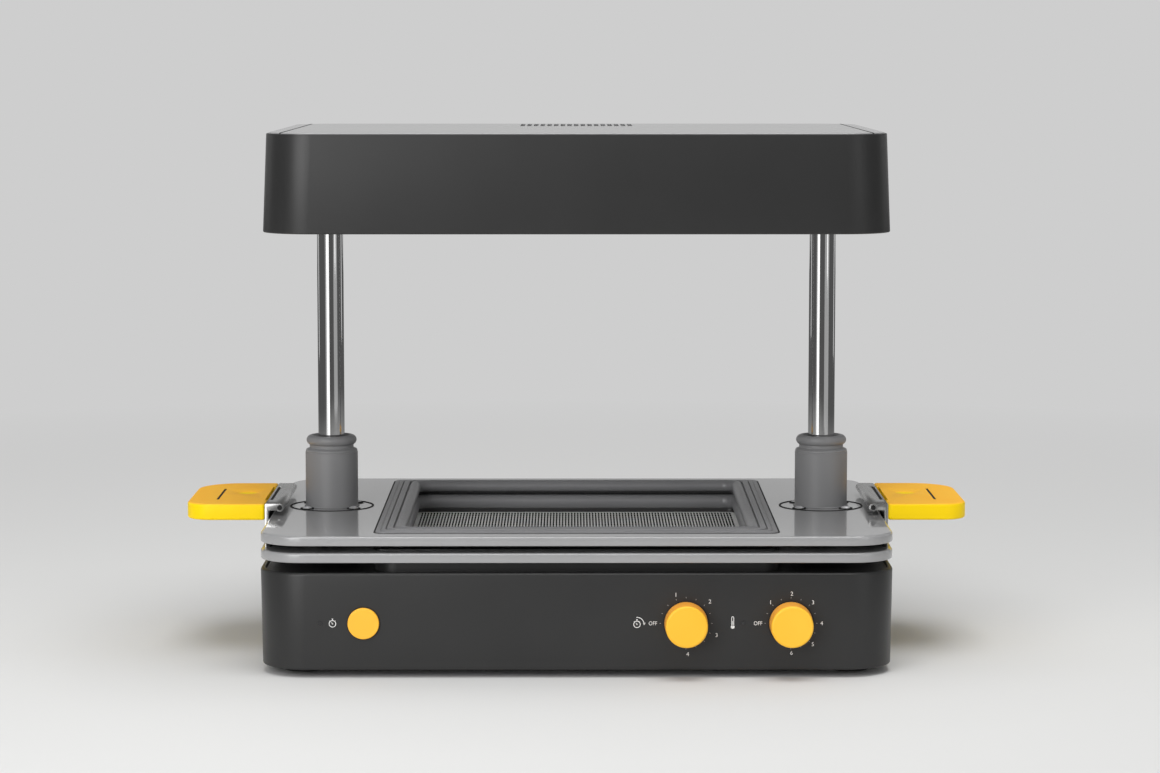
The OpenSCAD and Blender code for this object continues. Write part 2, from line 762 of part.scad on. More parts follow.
module rocker_frame() color(rubber_colour) at_body() difference() {
    union() {
        rocker_block(rear - 20, rear);
        translate([rocker_x, rear - flange_t / 2, control_z]) {
            cube([rocker_w + 2 * free + 7, flange_t, inlet_h + 2 + 2 * 1.4], center = true);
        }
    }
    block(rocker_x - rocker_w / 2 - free, rocker_x + rocker_w / 2 + free, rear - 18, rear + 1,
        control_z - rocker_half - 1, control_z + rocker_half + 1);
    rod_x(rocker_x - rocker_w, rocker_x + rocker_w, rear - rocker_sink, control_z, screw_r + run);
}

module power_rocker() color(rubber_colour) at_body() translate([rocker_x, rear - rocker_sink, control_z]) {
    rotate([-7, 0, 0]) union() {
        rotate([90, 0, 90]) translate([0, 0, -rocker_w / 2]) linear_extrude(rocker_w) {
            polygon([[-4, -5.5], [2, -rocker_half], [6, -rocker_half], [4.6, 0], [6, rocker_half],
                [2, rocker_half], [-4, 5.5]]);
        }
        rod_x(-rocker_w / 2 - free - 1, rocker_w / 2 + free + 1, 0, 0, screw_r);
    }
}

// Controls

module control_board() color(board_colour) at_body() difference() {
    block(board_x0, board_x1, board_y, board_y + board_t, board_z, board_z + board_h);
    for (x = post_x, z = post_z) rod_y(x, z, board_y - 1, board_y + board_t + 1, screw_r + fit);
}

module rotary_control(x) difference() {
    union() {
        rod_y(x, control_z, front + base_wall + 1.5, board_y, rotary_r);
        rod_y(x, control_z, front + 0.2, front + base_wall + 2, bush_nose_r);
    }
    rod_y(x, control_z, front - 1, board_y - 4, spindle_r + run);
}

module timer_switch() color(casing_colour) at_body() rotary_control(timer_x);

module heater_regulator() color(casing_colour) at_body() rotary_control(heater_x);

module spindle(x) difference() {
    rod_y(x, control_z, front - knob_h + 3, board_y - 4.3, spindle_r);
    block(x - spindle_r, x + spindle_r, front - knob_h, front - 2, control_z + spindle_r - 1,
        control_z + spindle_r + 1);
}

module timer_spindle() color(steel_colour) at_body() spindle(timer_x);

module heater_spindle() color(steel_colour) at_body() spindle(heater_x);

module knob(x) difference() {
    translate([x, front - free, control_z]) rotate([90, 0, 0]) rotate_extrude() polygon([[0, 0], [knob_r, 0],
        [knob_r, knob_h - free - 1.2], [knob_r - 0.35, knob_h - free - 0.35], [knob_r - 1.2, knob_h - free],
        [0, knob_h - free]]);
    difference() {
        rod_y(x, control_z, front - knob_h + 3 - fit, front, spindle_r + fit);
        block(x - spindle_r, x + spindle_r, front - knob_h, front - 2, control_z + spindle_r - 1 + fit,
            control_z + spindle_r + 1);
    }
}

module timer_knob() color(yellow) at_body() knob(timer_x);

module heater_knob() color(yellow) at_body() knob(heater_x);

module start_button() color(yellow) at_body() {
    rod_y(button_x, control_z, front - button_proud, front + base_wall + 2.5, button_r);
    rod_y(button_x, control_z, front + base_wall + free, front + base_wall + 2.5, button_r + 1.4);
    rod_y(button_x, control_z, front + base_wall + 2, board_y - 8 - button_travel - free, spindle_r);
}

module start_switch() color(rubber_colour) at_body() difference() {
    union() {
        block(button_x - 8, button_x + 8, board_y - 8, board_y, control_z - 8, control_z + 8);
        rod_y(button_x, control_z, board_y - 13, board_y - 7, spindle_r + 3);
    }
    rod_y(button_x, control_z, board_y - 14, board_y - 8, spindle_r + run);
}

module indicator_windows() color([0.7, 0.7, 0.7]) at_body() {
    for (x = [lamp_a_x, lamp_b_x]) rod_y(x, control_z, front, board_y, lamp_r);
}

module power_board() color(board_colour) at_body() {
    translate([power_x, power_y, 0]) difference() {
        block(-power_w / 2, power_w / 2, -power_d / 2, power_d / 2, power_z, power_top);
        at_corners(power_w / 2 - 4, power_d / 2 - 4) rod_z(0, 0, power_z - 1, power_top + 1, screw_r + fit);
    }
    // transformer, relay, choke, capacitors, two terminal blocks and the ribbon's socket
    translate([power_x, power_y, power_top]) {
        block(2 - coil_w, 2, 30.5 - coil_d, 30.5, 0, coil_h);
        block(-10 - relay_w, -10, -29.5, relay_d - 29.5, 0, relay_h);
        rod_z(18, 7.5, 0, choke_h, choke_r);
        for (i = [0 : 2]) rod_z(-20 + i * 2.8 * cap_r, -45.5, 0, capacitor_h, cap_r);
    }
    block(inlet_x - block_w / 2 - 0.5, inlet_x + block_w / 2 - 0.5, inlet_block_y - block_d, inlet_block_y,
        power_top, control_z + 2);
    block(heat_block_x - 6, heat_block_x + 6, -block_w / 2, block_w / 2, power_top, lead_low_z + 5);
    block(ribbon_x - ribbon_w / 2 - 1, ribbon_x + ribbon_w / 2 + 1, power_front, power_front + 3.5, power_top,
        power_top + 7);
}

module base_wiring() color([0.6, 0.5, 0.4]) at_body() {
    block(ribbon_x - ribbon_w / 2, ribbon_x + ribbon_w / 2, board_y + board_t, power_front, power_top + 3,
        power_top + 3 + ribbon_t);
    for (x = [-7, 7]) rod_y(inlet_x + x, control_z - 1, inlet_block_y, rear - 26, lead_r);
}

// Columns

module column_body() difference() {
    union() {
        rod_z(0, 0, floor_z, frame_z, col_r);
        rod_z(0, 0, frame_z - 1, stud_top, stud_r);
    }
    rod_z(0, 0, floor_z - 1, stud_top + 1, col_bore_r);
}

module column_left() color(steel_colour) at_body() translate([-col_x, 0, 0]) column_body();

module column_right() color(steel_colour) at_body() difference() {
    translate([col_x, 0, 0]) column_body();
    rod_x(col_x - col_r - 1, col_x, 0, lead_z, lead_r + 0.3);
}

module column_sockets() color(casing_colour) at_body() both_sides() difference() {
    union() {
        rod_z(0, 0, floor_z, floor_z + socket_h, socket_r);
        rod_z(0, 0, floor_z, floor_z + socket_flange_t, socket_flange_r);
    }
    rod_z(0, 0, floor_z - 1, floor_z + socket_h + 1, col_r + fit);
    around(3, socket_circle, 30) rod_z(0, 0, floor_z - 1, floor_z + socket_flange_t + 1, screw_r + fit);
}

module column_fixings() color(steel_colour) at_body() both_sides() {
    difference() {
        union() {
            rod_z(0, 0, cap_z, frame_z, col_r + 6);
            rod_z(0, 0, frame_z - cap_flange_t, frame_z, cap_flange_r);
        }
        rod_z(0, 0, cap_z - 1, frame_z + 1, col_r + fit);
    }
    difference() {
        translate([0, 0, frame_top]) cylinder(r = stud_r * 1.95, h = nut_t, $fn = 6);
        rod_z(0, 0, frame_top - 1, frame_top + nut_t + 1, stud_r + fit);
    }
}

module heater_lead() color([0.6, 0.15, 0.12]) at_body() {
    top_z = stud_top + lead_r + 0.6;
    rod_x(heat_block_x + 6, lead_drop_x, 0, lead_low_z, lead_r);
    translate([lead_drop_x, 0, lead_low_z]) sphere(lead_r);
    rod_z(lead_drop_x, 0, lead_low_z, lead_z, lead_r);
    translate([lead_drop_x, 0, lead_z]) sphere(lead_r);
    rod_x(lead_drop_x, col_x, 0, lead_z, lead_r);
    translate([col_x, 0, lead_z]) sphere(lead_r);
    rod_z(col_x, 0, lead_z, top_z, lead_r);
    translate([col_x, 0, top_z]) sphere(lead_r);
    rod_x(13, col_x, 0, top_z, lead_r);
}

// Trays

module tray_plate(z) {
    slab(tray_w, tray_d, tray_r, z, tray_t);
}

module tray_opening(z) {
    slab(opening_w, opening_w, 8, z - 1, tray_t + 2);
    slab(gasket_w + 2 * loose, gasket_w + 2 * loose, 9, z + tray_t - rebate, rebate + 1);
}

module lower_tray() color(tray_colour) at_body() difference() {
    tray_plate(lower_z);
    tray_opening(lower_z);
    both_sides() rod_z(0, 0, lower_z - 1, lower_top + 1, sleeve_r + fit);
    sleeve_screw_places() rod_z(0, 0, lower_z - 1, lower_z + tray_hole, screw_r + fit);
    bracket_screw_places() rod_z(0, 0, lower_z - 1, lower_z + tray_hole, screw_r + fit);
}

module upper_tray() color(tray_colour) at_body() difference() {
    tray_plate(upper_z);
    tray_opening(upper_z);
    both_sides() {
        rod_z(0, 0, upper_top - collar_flange_t, upper_top + 1, collar_flange_r + 0.2);
        rod_z(0, 0, upper_z - 1, upper_top, collar_r - 2 + fit);
        around(4, collar_screw_circle) rod_z(0, 0, upper_z - 1, upper_top, screw_r + fit);
    }
}

module gasket_section(z, bottom, bead_low) {
    neck_w = opening_w - 2 * fit;
    bead_out = gasket_in + 2 * bead_w;
    ring(gasket_w, gasket_w, 8.5, (gasket_w - bead_out) / 2 + 1, z + tray_t - rebate, rebate + gasket_proud);
    ring(neck_w, neck_w, 8 - fit, (neck_w - bead_out) / 2 + 1, z + bottom, tray_t - rebate - bottom + 0.1);
    ring(bead_out, bead_out, 8, bead_w, z + bead_low, tray_t + bead_up - bead_low);
}

module lower_gasket() color(gasket_colour) at_body() {
    gasket_section(lower_z, 0, 0);
    ring(opening_w - 8, opening_w - 8, 6, 3, lower_top + gasket_proud - 0.1, lip_h + 0.1);
    // skirt that hangs inside the bed's surround
    skirt_z = bed_top + skirt_gap;
    ring(skirt_w, skirt_w, 5, (skirt_w - gasket_in) / 2, skirt_z, lower_z - skirt_z + 1);
}

module upper_gasket() color(gasket_colour) at_body() {
    gasket_section(upper_z, upper_low, upper_low + 0.3);
    for (w = [gasket_w - 5, gasket_w - 13]) ring(w, w, 7, 1.5, upper_top + gasket_proud - 0.1, 0.5);
}

module guide_sleeves() color(collar_colour) at_body() both_sides() difference() {
    union() {
        rod_z(0, 0, sleeve_z, lower_top, sleeve_r);
        rod_z(0, 0, lower_z - sleeve_flange_t, lower_z, sleeve_flange_r);
    }
    rod_z(0, 0, sleeve_z - 1, lower_top + 1, bush_r + fit);
    around(4, sleeve_circle) rod_z(0, 0, lower_z - sleeve_flange_t - 1, lower_z + 1, screw_r + fit);
}

module guide_bushes() color(ceramic_colour) at_body() both_sides() {
    tube_z(0, 0, sleeve_z, lower_top, bush_r, col_r + run);
}

module collar_bushes() color(ceramic_colour) at_body() both_sides() {
    tube_z(0, 0, upper_z, collar_top - 3, bush_r, col_r + run);
}

module tray_screws() color(steel_colour) at_body() {
    sleeve_screw_places() screw_up(lower_z - sleeve_flange_t, sleeve_flange_t + tray_hole - 0.5);
    bracket_screw_places() screw_up(lower_z - bracket_t, bracket_t + tray_hole - 0.5);
}

module collar_body() difference() {
    union() {
        rod_z(0, 0, upper_z, upper_top, collar_r - 2);
        rod_z(0, 0, upper_top - collar_flange_t, upper_top, collar_flange_r);
        translate([0, 0, upper_top - 1]) rotate_extrude() polygon([[0, 0], [collar_r, 0],
            [collar_r, collar_body_h], [collar_r - 0.3, collar_body_h + 0.3], [neck_r, collar_body_h + shoulder_h],
            [neck_r, collar_h - 1], [0, collar_h - 1]]);
        rod_z(0, 0, neck_z, collar_top, collar_bead_mid);
        translate([0, 0, collar_bead_z]) rotate_extrude() {
            translate([collar_bead_mid, 0]) circle(collar_bead_r);
        }
    }
    rod_z(0, 0, upper_z - 1, collar_top - 3 + fit, bush_r + fit);
    rod_z(0, 0, upper_z, collar_top + 1, col_r + 0.6);
    around(4, collar_screw_circle) rod_z(0, 0, upper_z, upper_top + 1, screw_r + fit);
}

module collar_left() color(collar_colour) at_body() translate([-col_x, 0, 0]) collar_body();

module collar_right() color(collar_colour) at_body() translate([col_x, 0, 0]) collar_body();

module collar_screws() color(steel_colour) at_body() both_sides() around(4, collar_screw_circle) {
    translate([0, 0, upper_top]) rotate_extrude() {
        polygon([[0, 0], [3.2, 0], [3.2, 0.7], [2.4, 1.4], [0, 1.7]]);
    }
    rod_z(0, 0, upper_z + 0.6, upper_top, screw_r);
}

// Latches

module hinge_brackets() color(steel_colour) at_latch() right_and_left() difference() {
    union() {
        block(bracket_x, bracket_x + bracket_w, -clip_len / 2 - lug_t - 0.5, clip_len / 2 + lug_t + 0.5,
            lower_z - bracket_t, lower_z);
        for (s = [-1, 1]) {
            mid = s * (clip_len / 2 + 0.5 + lug_t / 2);
            rod_y(pivot_x, pivot_z, mid - lug_t / 2, mid + lug_t / 2, knuckle_r);
            block(bracket_x + bracket_w - 4, pivot_x, mid - lug_t / 2, mid + lug_t / 2, pivot_z - 1,
                pivot_z + knuckle_r - 0.2);
        }
    }
    rod_y(pivot_x, pivot_z, -clip_len, clip_len, pin_r + fit);
    for (y = [-1, 1]) translate([bracket_x + bracket_w / 2, y * bracket_screw_y, 0]) {
        rod_z(0, 0, lower_z - bracket_t - 1, lower_z + 1, screw_r + fit);
    }
}

module hinge_pins() color(steel_colour) at_latch() right_and_left() {
    rod_y(pivot_x, pivot_z, -clip_len / 2 - lug_t - 0.5, clip_len / 2 + lug_t + 0.5, pin_r);
}

module handle_screws() handle_screw_places() {
    rod_z(0, 0, handle_z + head_h, handle_z + 2 * head_h - 0.1, head_r);
    rod_z(0, 0, handle_z + head_h, tongue_z + tongue_t + 2, screw_r);
}

module latch_clip() difference() {
    half = clip_len / 2;
    union() {
        rod_y(pivot_x, pivot_z, -half, half, knuckle_r);
        block(web_x, handle_x, -half, half, pivot_z, arm_top - 1);
        block(roll_x, handle_x - 1, -half, half, arm_top - arm_t, arm_top);
        block(handle_x - 2, handle_x, -half, half, arm_top - arm_t, arm_top - 1);
        rod_y(handle_x - 1, arm_top - 1, -half, half, 1);
        rod_y(roll_x, roll_z, -half, half, roll_r);
        block(handle_x - 1, handle_x + tongue_len, -tongue_w / 2, tongue_w / 2, tongue_z,
            tongue_z + tongue_t);
    }
    rod_y(pivot_x, pivot_z, -clip_len, clip_len, pin_r + run);
    block(handle_x - 3.4, handle_x - 1.6, -slot_len / 2, slot_len / 2, arm_top - 2, arm_top + 1);
    handle_screw_places() rod_z(0, 0, tongue_z - 1, tongue_z + tongue_t + 1, screw_r + 0.2);
}

module latch_clip_right() color(steel_colour) at_latch() {
    latch_clip();
    handle_screws();
}

module latch_clip_left() color(steel_colour) at_latch() mirror([1, 0, 0]) {
    latch_clip();
    handle_screws();
}

module handle_form() intersection() {
    half = handle_len / 2;
    tip_x = handle_x + handle_w;
    block(handle_x + fit, tip_x + 1, -half - 1, half + 1, handle_z - 1, arm_top + 1);
    translate([0, 0, handle_z]) linear_extrude(handle_t) hull() {
        translate([handle_x - 6, -half]) square([2, handle_len]);
        translate([tip_x - handle_front_r, handle_front_r - half]) circle(handle_front_r);
        translate([tip_x - handle_r, half - handle_r]) circle(handle_r);
    }
}

module handle() difference() {
    handle_form();
    block(handle_x - 1, handle_x + tongue_len + 0.2, -tongue_w / 2 - 0.1, tongue_w / 2 + 0.1, tongue_z - fit,
        tongue_z + tongue_t + fit);
    handle_screw_places() {
        rod_z(0, 0, handle_z - 1, tongue_z + tongue_t + 2.5, screw_r + 0.2);
        rod_z(0, 0, handle_z - 1, handle_z + 2 * head_h, head_r + 0.2);
    }
    block(handle_x + groove_x, handle_x + groove_x + 1.3, -latch_y - groove_half, groove_half - latch_y,
        arm_top - 0.8, arm_top + 1);
    translate([handle_x + dish_x, dish_y, arm_top + 30]) sphere(30.8);
}

module handle_screw_places() for (x = [8, 16]) translate([handle_x + x, 0, 0]) children();

module handle_right() color(yellow) at_latch() handle();

module handle_left() color(yellow) at_latch() mirror([1, 0, 0]) handle();

// Heater

module cover_form(grow, z0, z1) hull() {
    top_cut = cover_taper * (z1 - heater_z) / heater_h;
    low_cut = cover_taper * (z0 - heater_z) / heater_h;
    slab(cover_w - low_cut + grow, cover_d - low_cut + grow, cover_r + grow / 2, z0, 0.01);
    slab(cover_w - top_cut + grow, cover_d - top_cut + grow, cover_r + grow / 2, z1 - 0.01, 0.01);
}

module heater_cover() color(casing_colour) at_body() difference() {
    union() {
        difference() {
            cover_form(0, heater_z, rim_top);
            cover_form(-2 * cover_wall, heater_z - 1, rim_top + 1);
        }
        difference() {
            slab(cover_w - cover_wall - 1, cover_d - cover_wall - 1, cover_r - 1.5, plate_top, cover_ledge_h);
            slab(cover_w - 2 * (cover_wall + cover_ledge_w), cover_d - 2 * (cover_wall + cover_ledge_w),
                cover_r - cover_wall - cover_ledge_w, plate_top - 1, cover_ledge_h + 2);
        }
        difference() {
            slab(lid_w - 0.4, lid_d - 0.4, lid_r - 0.2, lid_z - 2, 2);
            slab(lid_w - 2 * cover_ledge_w, lid_d - 2 * cover_ledge_w, lid_r - cover_ledge_w, lid_z - 3, 4);
        }
    }
    slab(lid_w + 0.2, lid_d + 0.2, lid_r + 0.1, lid_z, lid_t);
    cover_screw_places() rod_z(0, 0, plate_top - 1, plate_top + cover_ledge_h - 0.5, screw_r + fit);
}

module cover_screw_places() {
    at_corners(0.33 * cover_w, cover_d / 2 - cover_wall - 3) children();
    at_corners(cover_w / 2 - cover_wall - 3, spacer_y) children();
}

module lid_outline(z, h) slab(lid_w, lid_d, lid_r, z, h);

module heater_lid() color(tray_colour) at_body() {
    difference() {
        intersection() {
            lid_outline(lid_z, lid_t);
            cube([lid_w - 2 * strip_w - 2 * seam_w, lid_d + 2, 4 * heater_top], center = true);
        }
        for (i = [0 : vent_n - 1]) translate([(i - (vent_n - 1) / 2) * vent_pitch, vent_y, lid_z - 1]) {
            linear_extrude(lid_t + 2) outline(vent_w, vent_len, vent_w / 2 - 0.01);
        }
    }
    // strips at the ends
    difference() {
        lid_outline(lid_z, lid_t);
        cube([lid_w - 2 * strip_w, lid_d + 2, 4 * heater_top], center = true);
    }
}

module heater_base() color(steel_colour) at_body() difference() {
    slab(cover_w - 2 * cover_wall - 1, cover_d - 2 * cover_wall - 1, cover_r - cover_wall - 0.5, plate_z,
        heater_base_t);
    slab(aperture_w, aperture_w, 6, plate_z - 1, heater_base_t + 2);
    both_sides() rod_z(0, 0, plate_z - 1, plate_top + 1, catch_in_r);
    cover_screw_places() rod_z(0, 0, plate_z - 1, plate_top + 1, screw_r + fit);
    at_corners(spacer_x, spacer_y) rod_z(0, 0, plate_z - 1, plate_top + 1, screw_r + fit);
}

module heater_frame() color(steel_colour) at_body() difference() {
    slab(frame_w, frame_d, 8, frame_z, frame_t);
    both_sides() rod_z(0, 0, frame_z - 1, frame_top + 1, stud_r + fit);
    at_corners(spacer_x, spacer_y) rod_z(0, 0, frame_z - 1, frame_top + 1, screw_r + fit);
    right_and_left() translate([70, 0, 0]) slab(60, frame_d - 50, 8, frame_z - 1, frame_t + 2);
}

module reflector() color([0.85, 0.85, 0.86]) at_body() difference() {
    union() {
        slab(reflector_w + 2 * reflector_t, reflector_w + 2 * reflector_t, 6 + reflector_t, plate_top,
            reflector_h);
        slab(reflector_w + 10, reflector_w + 10, 8, plate_top, reflector_t);
    }
    slab(reflector_w, reflector_w, 6, plate_top - 1, reflector_h - reflector_t + 1);
}

module heating_tubes() color(ceramic_colour) at_body() for (i = [0 : tube_n - 1]) {
    rod_x(-reflector_w / 2 + 2.5, reflector_w / 2 - 2.5, (i - (tube_n - 1) / 2) * tube_pitch, tube_z, tube_r);
}

module guard_grille() color(steel_colour) at_body() difference() {
    guard_w = aperture_w + 6;
    pitch = (guard_w - guard_bar) / guard_n;
    slab(guard_w, guard_w, 5, plate_top, guard_bar);
    for (i = [0 : guard_n - 1], j = [0 : guard_n - 1]) {
        translate([(i - (guard_n - 1) / 2) * pitch, (j - (guard_n - 1) / 2) * pitch, plate_top]) {
            cube([pitch - guard_bar, pitch - guard_bar, 3 * guard_bar], center = true);
        }
    }
}

module tube_holders() color(ceramic_colour) at_body() right_and_left() difference() {
    block(reflector_w / 2 - holder_t, reflector_w / 2, -holder_half, holder_half, tube_z - 1.6 * tube_r,
        tube_z + 1.6 * tube_r);
    for (i = [0 : tube_n - 1]) {
        rod_x(reflector_w / 2 - holder_t - 1, reflector_w / 2 - 2.5 + fit, (i - (tube_n - 1) / 2) * tube_pitch,
            tube_z, tube_r + fit);
    }
}

module insulation() color([0.8, 0.78, 0.7]) at_body() difference() {
    slab(reflector_w, reflector_w, 6, reflector_top, insulation_t);
    rod_z(cutout_x, cutout_y, reflector_top - 1, reflector_top + insulation_t + 1, cutout_r + 2);
}

module collar_catches() color(casing_colour) at_body() both_sides() {
    difference() {
        rod_z(0, 0, plate_top, plate_top + catch_h, catch_r);
        rod_z(0, 0, plate_top - 1, plate_top + catch_h + 1, catch_in_r);
        plunger_places() rod_x(catch_in_r - 1, catch_r + 1, 0, plunger_z, plunger_r + fit);
    }
    // spring plungers, pushed back
    plunger_places() rod_x(catch_in_r + 0.1, catch_r + 2, 0, plunger_z, plunger_r);
}

module plunger_places() for (turn = [-90, 90]) rotate(turn) children();

module frame_spacers() color(steel_colour) at_body() at_corners(spacer_x, spacer_y) {
    tube_z(0, 0, plate_top, frame_z, spacer_r, screw_r + fit);
}

module heater_terminals() at_body() {
    color(ceramic_colour) block(-13, 13, -8, 8, frame_top, lid_z - 0.4);
    // thermal cut-out on the reflector
    color(steel_colour) rod_z(cutout_x, cutout_y, reflector_top, reflector_top + 7, cutout_r);
}

base_shell();
base_deck();
bottom_plate();
feet();
case_screws();
bed_surround();
bed_plate();
vacuum_plenum();
air_duct();
hose_port();
mains_inlet();
inlet_pins();
rocker_frame();
power_rocker();
control_board();
timer_switch();
heater_regulator();
start_switch();
start_button();
timer_knob();
timer_spindle();
heater_knob();
heater_spindle();
indicator_windows();
power_board();
base_wiring();
column_left();
column_right();
column_sockets();
column_fixings();
heater_lead();
lower_tray();
lower_gasket();
guide_sleeves();
guide_bushes();
hinge_brackets();
hinge_pins();
tray_screws();
upper_tray();
upper_gasket();
collar_left();
collar_right();
collar_bushes();
collar_screws();
latch_clip_left();
latch_clip_right();
handle_left();
handle_right();
heater_cover();
heater_lid();
heater_base();
heater_frame();
frame_spacers();
reflector();
insulation();
heating_tubes();
tube_holders();
guard_grille();
collar_catches();
heater_terminals();
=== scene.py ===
import json
import math
import random

import bmesh
import bpy
from mathutils import Matrix, Vector


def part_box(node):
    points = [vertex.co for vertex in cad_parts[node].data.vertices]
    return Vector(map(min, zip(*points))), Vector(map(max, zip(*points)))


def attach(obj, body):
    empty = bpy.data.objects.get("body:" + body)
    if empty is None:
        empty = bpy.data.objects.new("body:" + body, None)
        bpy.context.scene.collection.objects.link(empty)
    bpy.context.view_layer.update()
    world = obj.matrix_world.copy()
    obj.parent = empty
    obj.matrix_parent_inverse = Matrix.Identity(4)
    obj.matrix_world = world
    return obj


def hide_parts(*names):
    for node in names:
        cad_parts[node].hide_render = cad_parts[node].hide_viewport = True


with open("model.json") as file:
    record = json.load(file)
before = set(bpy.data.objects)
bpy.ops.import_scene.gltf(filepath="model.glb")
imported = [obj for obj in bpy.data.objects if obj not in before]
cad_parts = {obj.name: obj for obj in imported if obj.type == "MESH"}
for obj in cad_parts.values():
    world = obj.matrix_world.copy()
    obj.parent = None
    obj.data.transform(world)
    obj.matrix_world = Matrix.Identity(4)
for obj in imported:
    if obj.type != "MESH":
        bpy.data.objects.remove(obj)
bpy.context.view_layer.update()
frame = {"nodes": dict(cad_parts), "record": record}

mm = 0.001
casingLow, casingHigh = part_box("base_shell")
middleY = (casingLow.y + casingHigh.y) / 2
frontY = (casingLow.y - middleY) / mm
rearY = -frontY


def nodeSpan(name):
    # a node's box in millimetres, with Y counted from the middle of the casing
    low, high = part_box(name)
    lowY, highY = low.y - middleY, high.y - middleY
    return tuple(v / mm for v in (low.x, high.x, lowY, highY, low.z, high.z))


def centreOf(name):
    # the middle of a node's box as seen from the front: right and up
    x0, x1, y0, y1, low, high = nodeSpan(name)
    return (x0 + x1) / 2, (low + high) / 2


def showObject(name, data):
    made = bpy.data.objects.new(name, data)
    bpy.context.scene.collection.objects.link(made)
    return made


# Materials

def linear(hexColour):
    parts = [int(hexColour[i:i + 2], 16) / 255 for i in (0, 2, 4)]
    return [p / 12.92 if p <= 0.04045 else ((p + 0.055) / 1.055) ** 2.4 for p in parts] + [1.0]


def setInputs(tree, node, inputs):
    # a value is set, a socket is linked, and of another node its first output is linked
    for key, value in inputs.items():
        if isinstance(value, bpy.types.Node):
            value = value.outputs[0]
        if isinstance(value, bpy.types.NodeSocket):
            tree.links.new(value, node.inputs[key])
        else:
            node.inputs[key].default_value = value


def addNode(tree, kind, inputs=None, **settings):
    made = tree.nodes.new(kind)
    for name, value in settings.items():
        setattr(made, name, value)
    setInputs(tree, made, inputs or {})
    return made


def maths(tree, operation, first, second=0.0):
    return addNode(tree, "ShaderNodeMath", {0: first, 1: second}, operation=operation)


def newMaterial(name, values):
    material = bpy.data.materials.new(name)
    material.use_nodes = True
    tree = material.node_tree
    tree.nodes.clear()
    shader = addNode(tree, "ShaderNodeBsdfPrincipled", values)
    addNode(tree, "ShaderNodeOutputMaterial", {"Surface": shader})
    return material, tree, shader, addNode(tree, "ShaderNodeTexCoord").outputs["Object"]


def mixed(tree, share, first, second):
    return addNode(tree, "ShaderNodeMix", {0: share, 6: first, 7: second}, data_type="RGBA").outputs[2]


def tintBetween(tree, share, darkHex, lightHex):
    return mixed(tree, share, linear(darkHex), linear(lightHex))


def rangeOf(tree, value, low, high, fromLow=0.3, fromHigh=0.7):
    return addNode(tree, "ShaderNodeMapRange", {
        "Value": value, "From Min": fromLow, "From Max": fromHigh, "To Min": low, "To Max": high})


def noiseAt(tree, place, sizeMm, detail=2.0, stretch=(1, 1, 1)):
    scale = [s / (sizeMm * mm) for s in stretch]
    mapped = addNode(tree, "ShaderNodeMapping", {"Vector": place, "Scale": scale})
    return addNode(tree, "ShaderNodeTexNoise", {
        "Vector": mapped, "Scale": 1.0, "Detail": detail, "Roughness": 0.55})


def cloudOf(tree, place, sizeMm):
    return rangeOf(tree, noiseAt(tree, place, sizeMm), 0, 1)


def bumpOf(tree, height, depthMm, strength=0.25):
    return addNode(tree, "ShaderNodeBump", {
        "Height": height, "Strength": strength, "Distance": depthMm * mm})


def mouldedPlastic(name, darkHex, lightHex, roughness=0.42, grainMm=0.5, grainDepth=0.05, gleam=0.5):
    # spark-eroded mould: a fine even grain, the colour almost flat with a faint cloudiness
    material, tree, shader, place = newMaterial(name, {"IOR": 1.5, "Specular IOR Level": gleam})
    grain, uneven = noiseAt(tree, place, grainMm, 1.0), 0.04
    setInputs(tree, shader, {
        "Base Color": tintBetween(tree, cloudOf(tree, place, 60), darkHex, lightHex),
        "Roughness": rangeOf(tree, grain, roughness - uneven, roughness + uneven),
        "Normal": bumpOf(tree, grain, grainDepth)})
    return material


def sprayedLacquer(name, darkHex, lightHex, roughness, peelMm, peelDepth):
    # paint under a clear coat: sharp reflections that bend slightly with the orange peel
    material, tree, shader, place = newMaterial(name, {
        "Coat Weight": 1.0, "Coat Roughness": 0.03, "Coat IOR": 1.5, "Roughness": roughness})
    peel = bumpOf(tree, noiseAt(tree, place, peelMm, 1.0), peelDepth, 0.3)
    setInputs(tree, shader, {
        "Base Color": tintBetween(tree, cloudOf(tree, place, 80), darkHex, lightHex),
        "Normal": peel, "Coat Normal": peel})
    return material


def workedMetal(name, darkHex, lightHex, roughness, lineMm, along=(1, 1, 1), depth=0.002):
    # bare metal with the fine parallel lines that grinding or rolling leaves
    material, tree, shader, place = newMaterial(name, {"Metallic": 1.0})
    lines, uneven = noiseAt(tree, place, lineMm, 2.0, along), 0.02
    setInputs(tree, shader, {
        "Base Color": tintBetween(tree, rangeOf(tree, lines, 0, 1), darkHex, lightHex),
        "Roughness": rangeOf(tree, noiseAt(tree, place, 25), roughness - uneven, roughness + uneven),
        "Normal": bumpOf(tree, lines, depth, 0.2)})
    return material


def faceAndSideTints(name, sideHexes, faceHexes, axis, sideAt, faceAt, roughnesses, gleam):
    # one yellow plastic, tinted one way on its main face and another on its sides, with the roughness
    # changing between them
    material, tree, shader, place = newMaterial(name, {"IOR": 1.5, "Specular IOR Level": gleam})
    along = addNode(tree, "ShaderNodeSeparateXYZ", {0: place}).outputs[axis]
    onFace, cloud = rangeOf(tree, along, 0, 1, sideAt, faceAt), cloudOf(tree, place, 30)
    sides, face = [tintBetween(tree, cloud, *hexes) for hexes in (sideHexes, faceHexes)]
    setInputs(tree, shader, {
        "Base Color": mixed(tree, onFace, sides, face),
        "Roughness": rangeOf(tree, onFace, *roughnesses, 0, 1),
        "Normal": bumpOf(tree, noiseAt(tree, place, 0.6, 1.0), 0.03)})
    return material


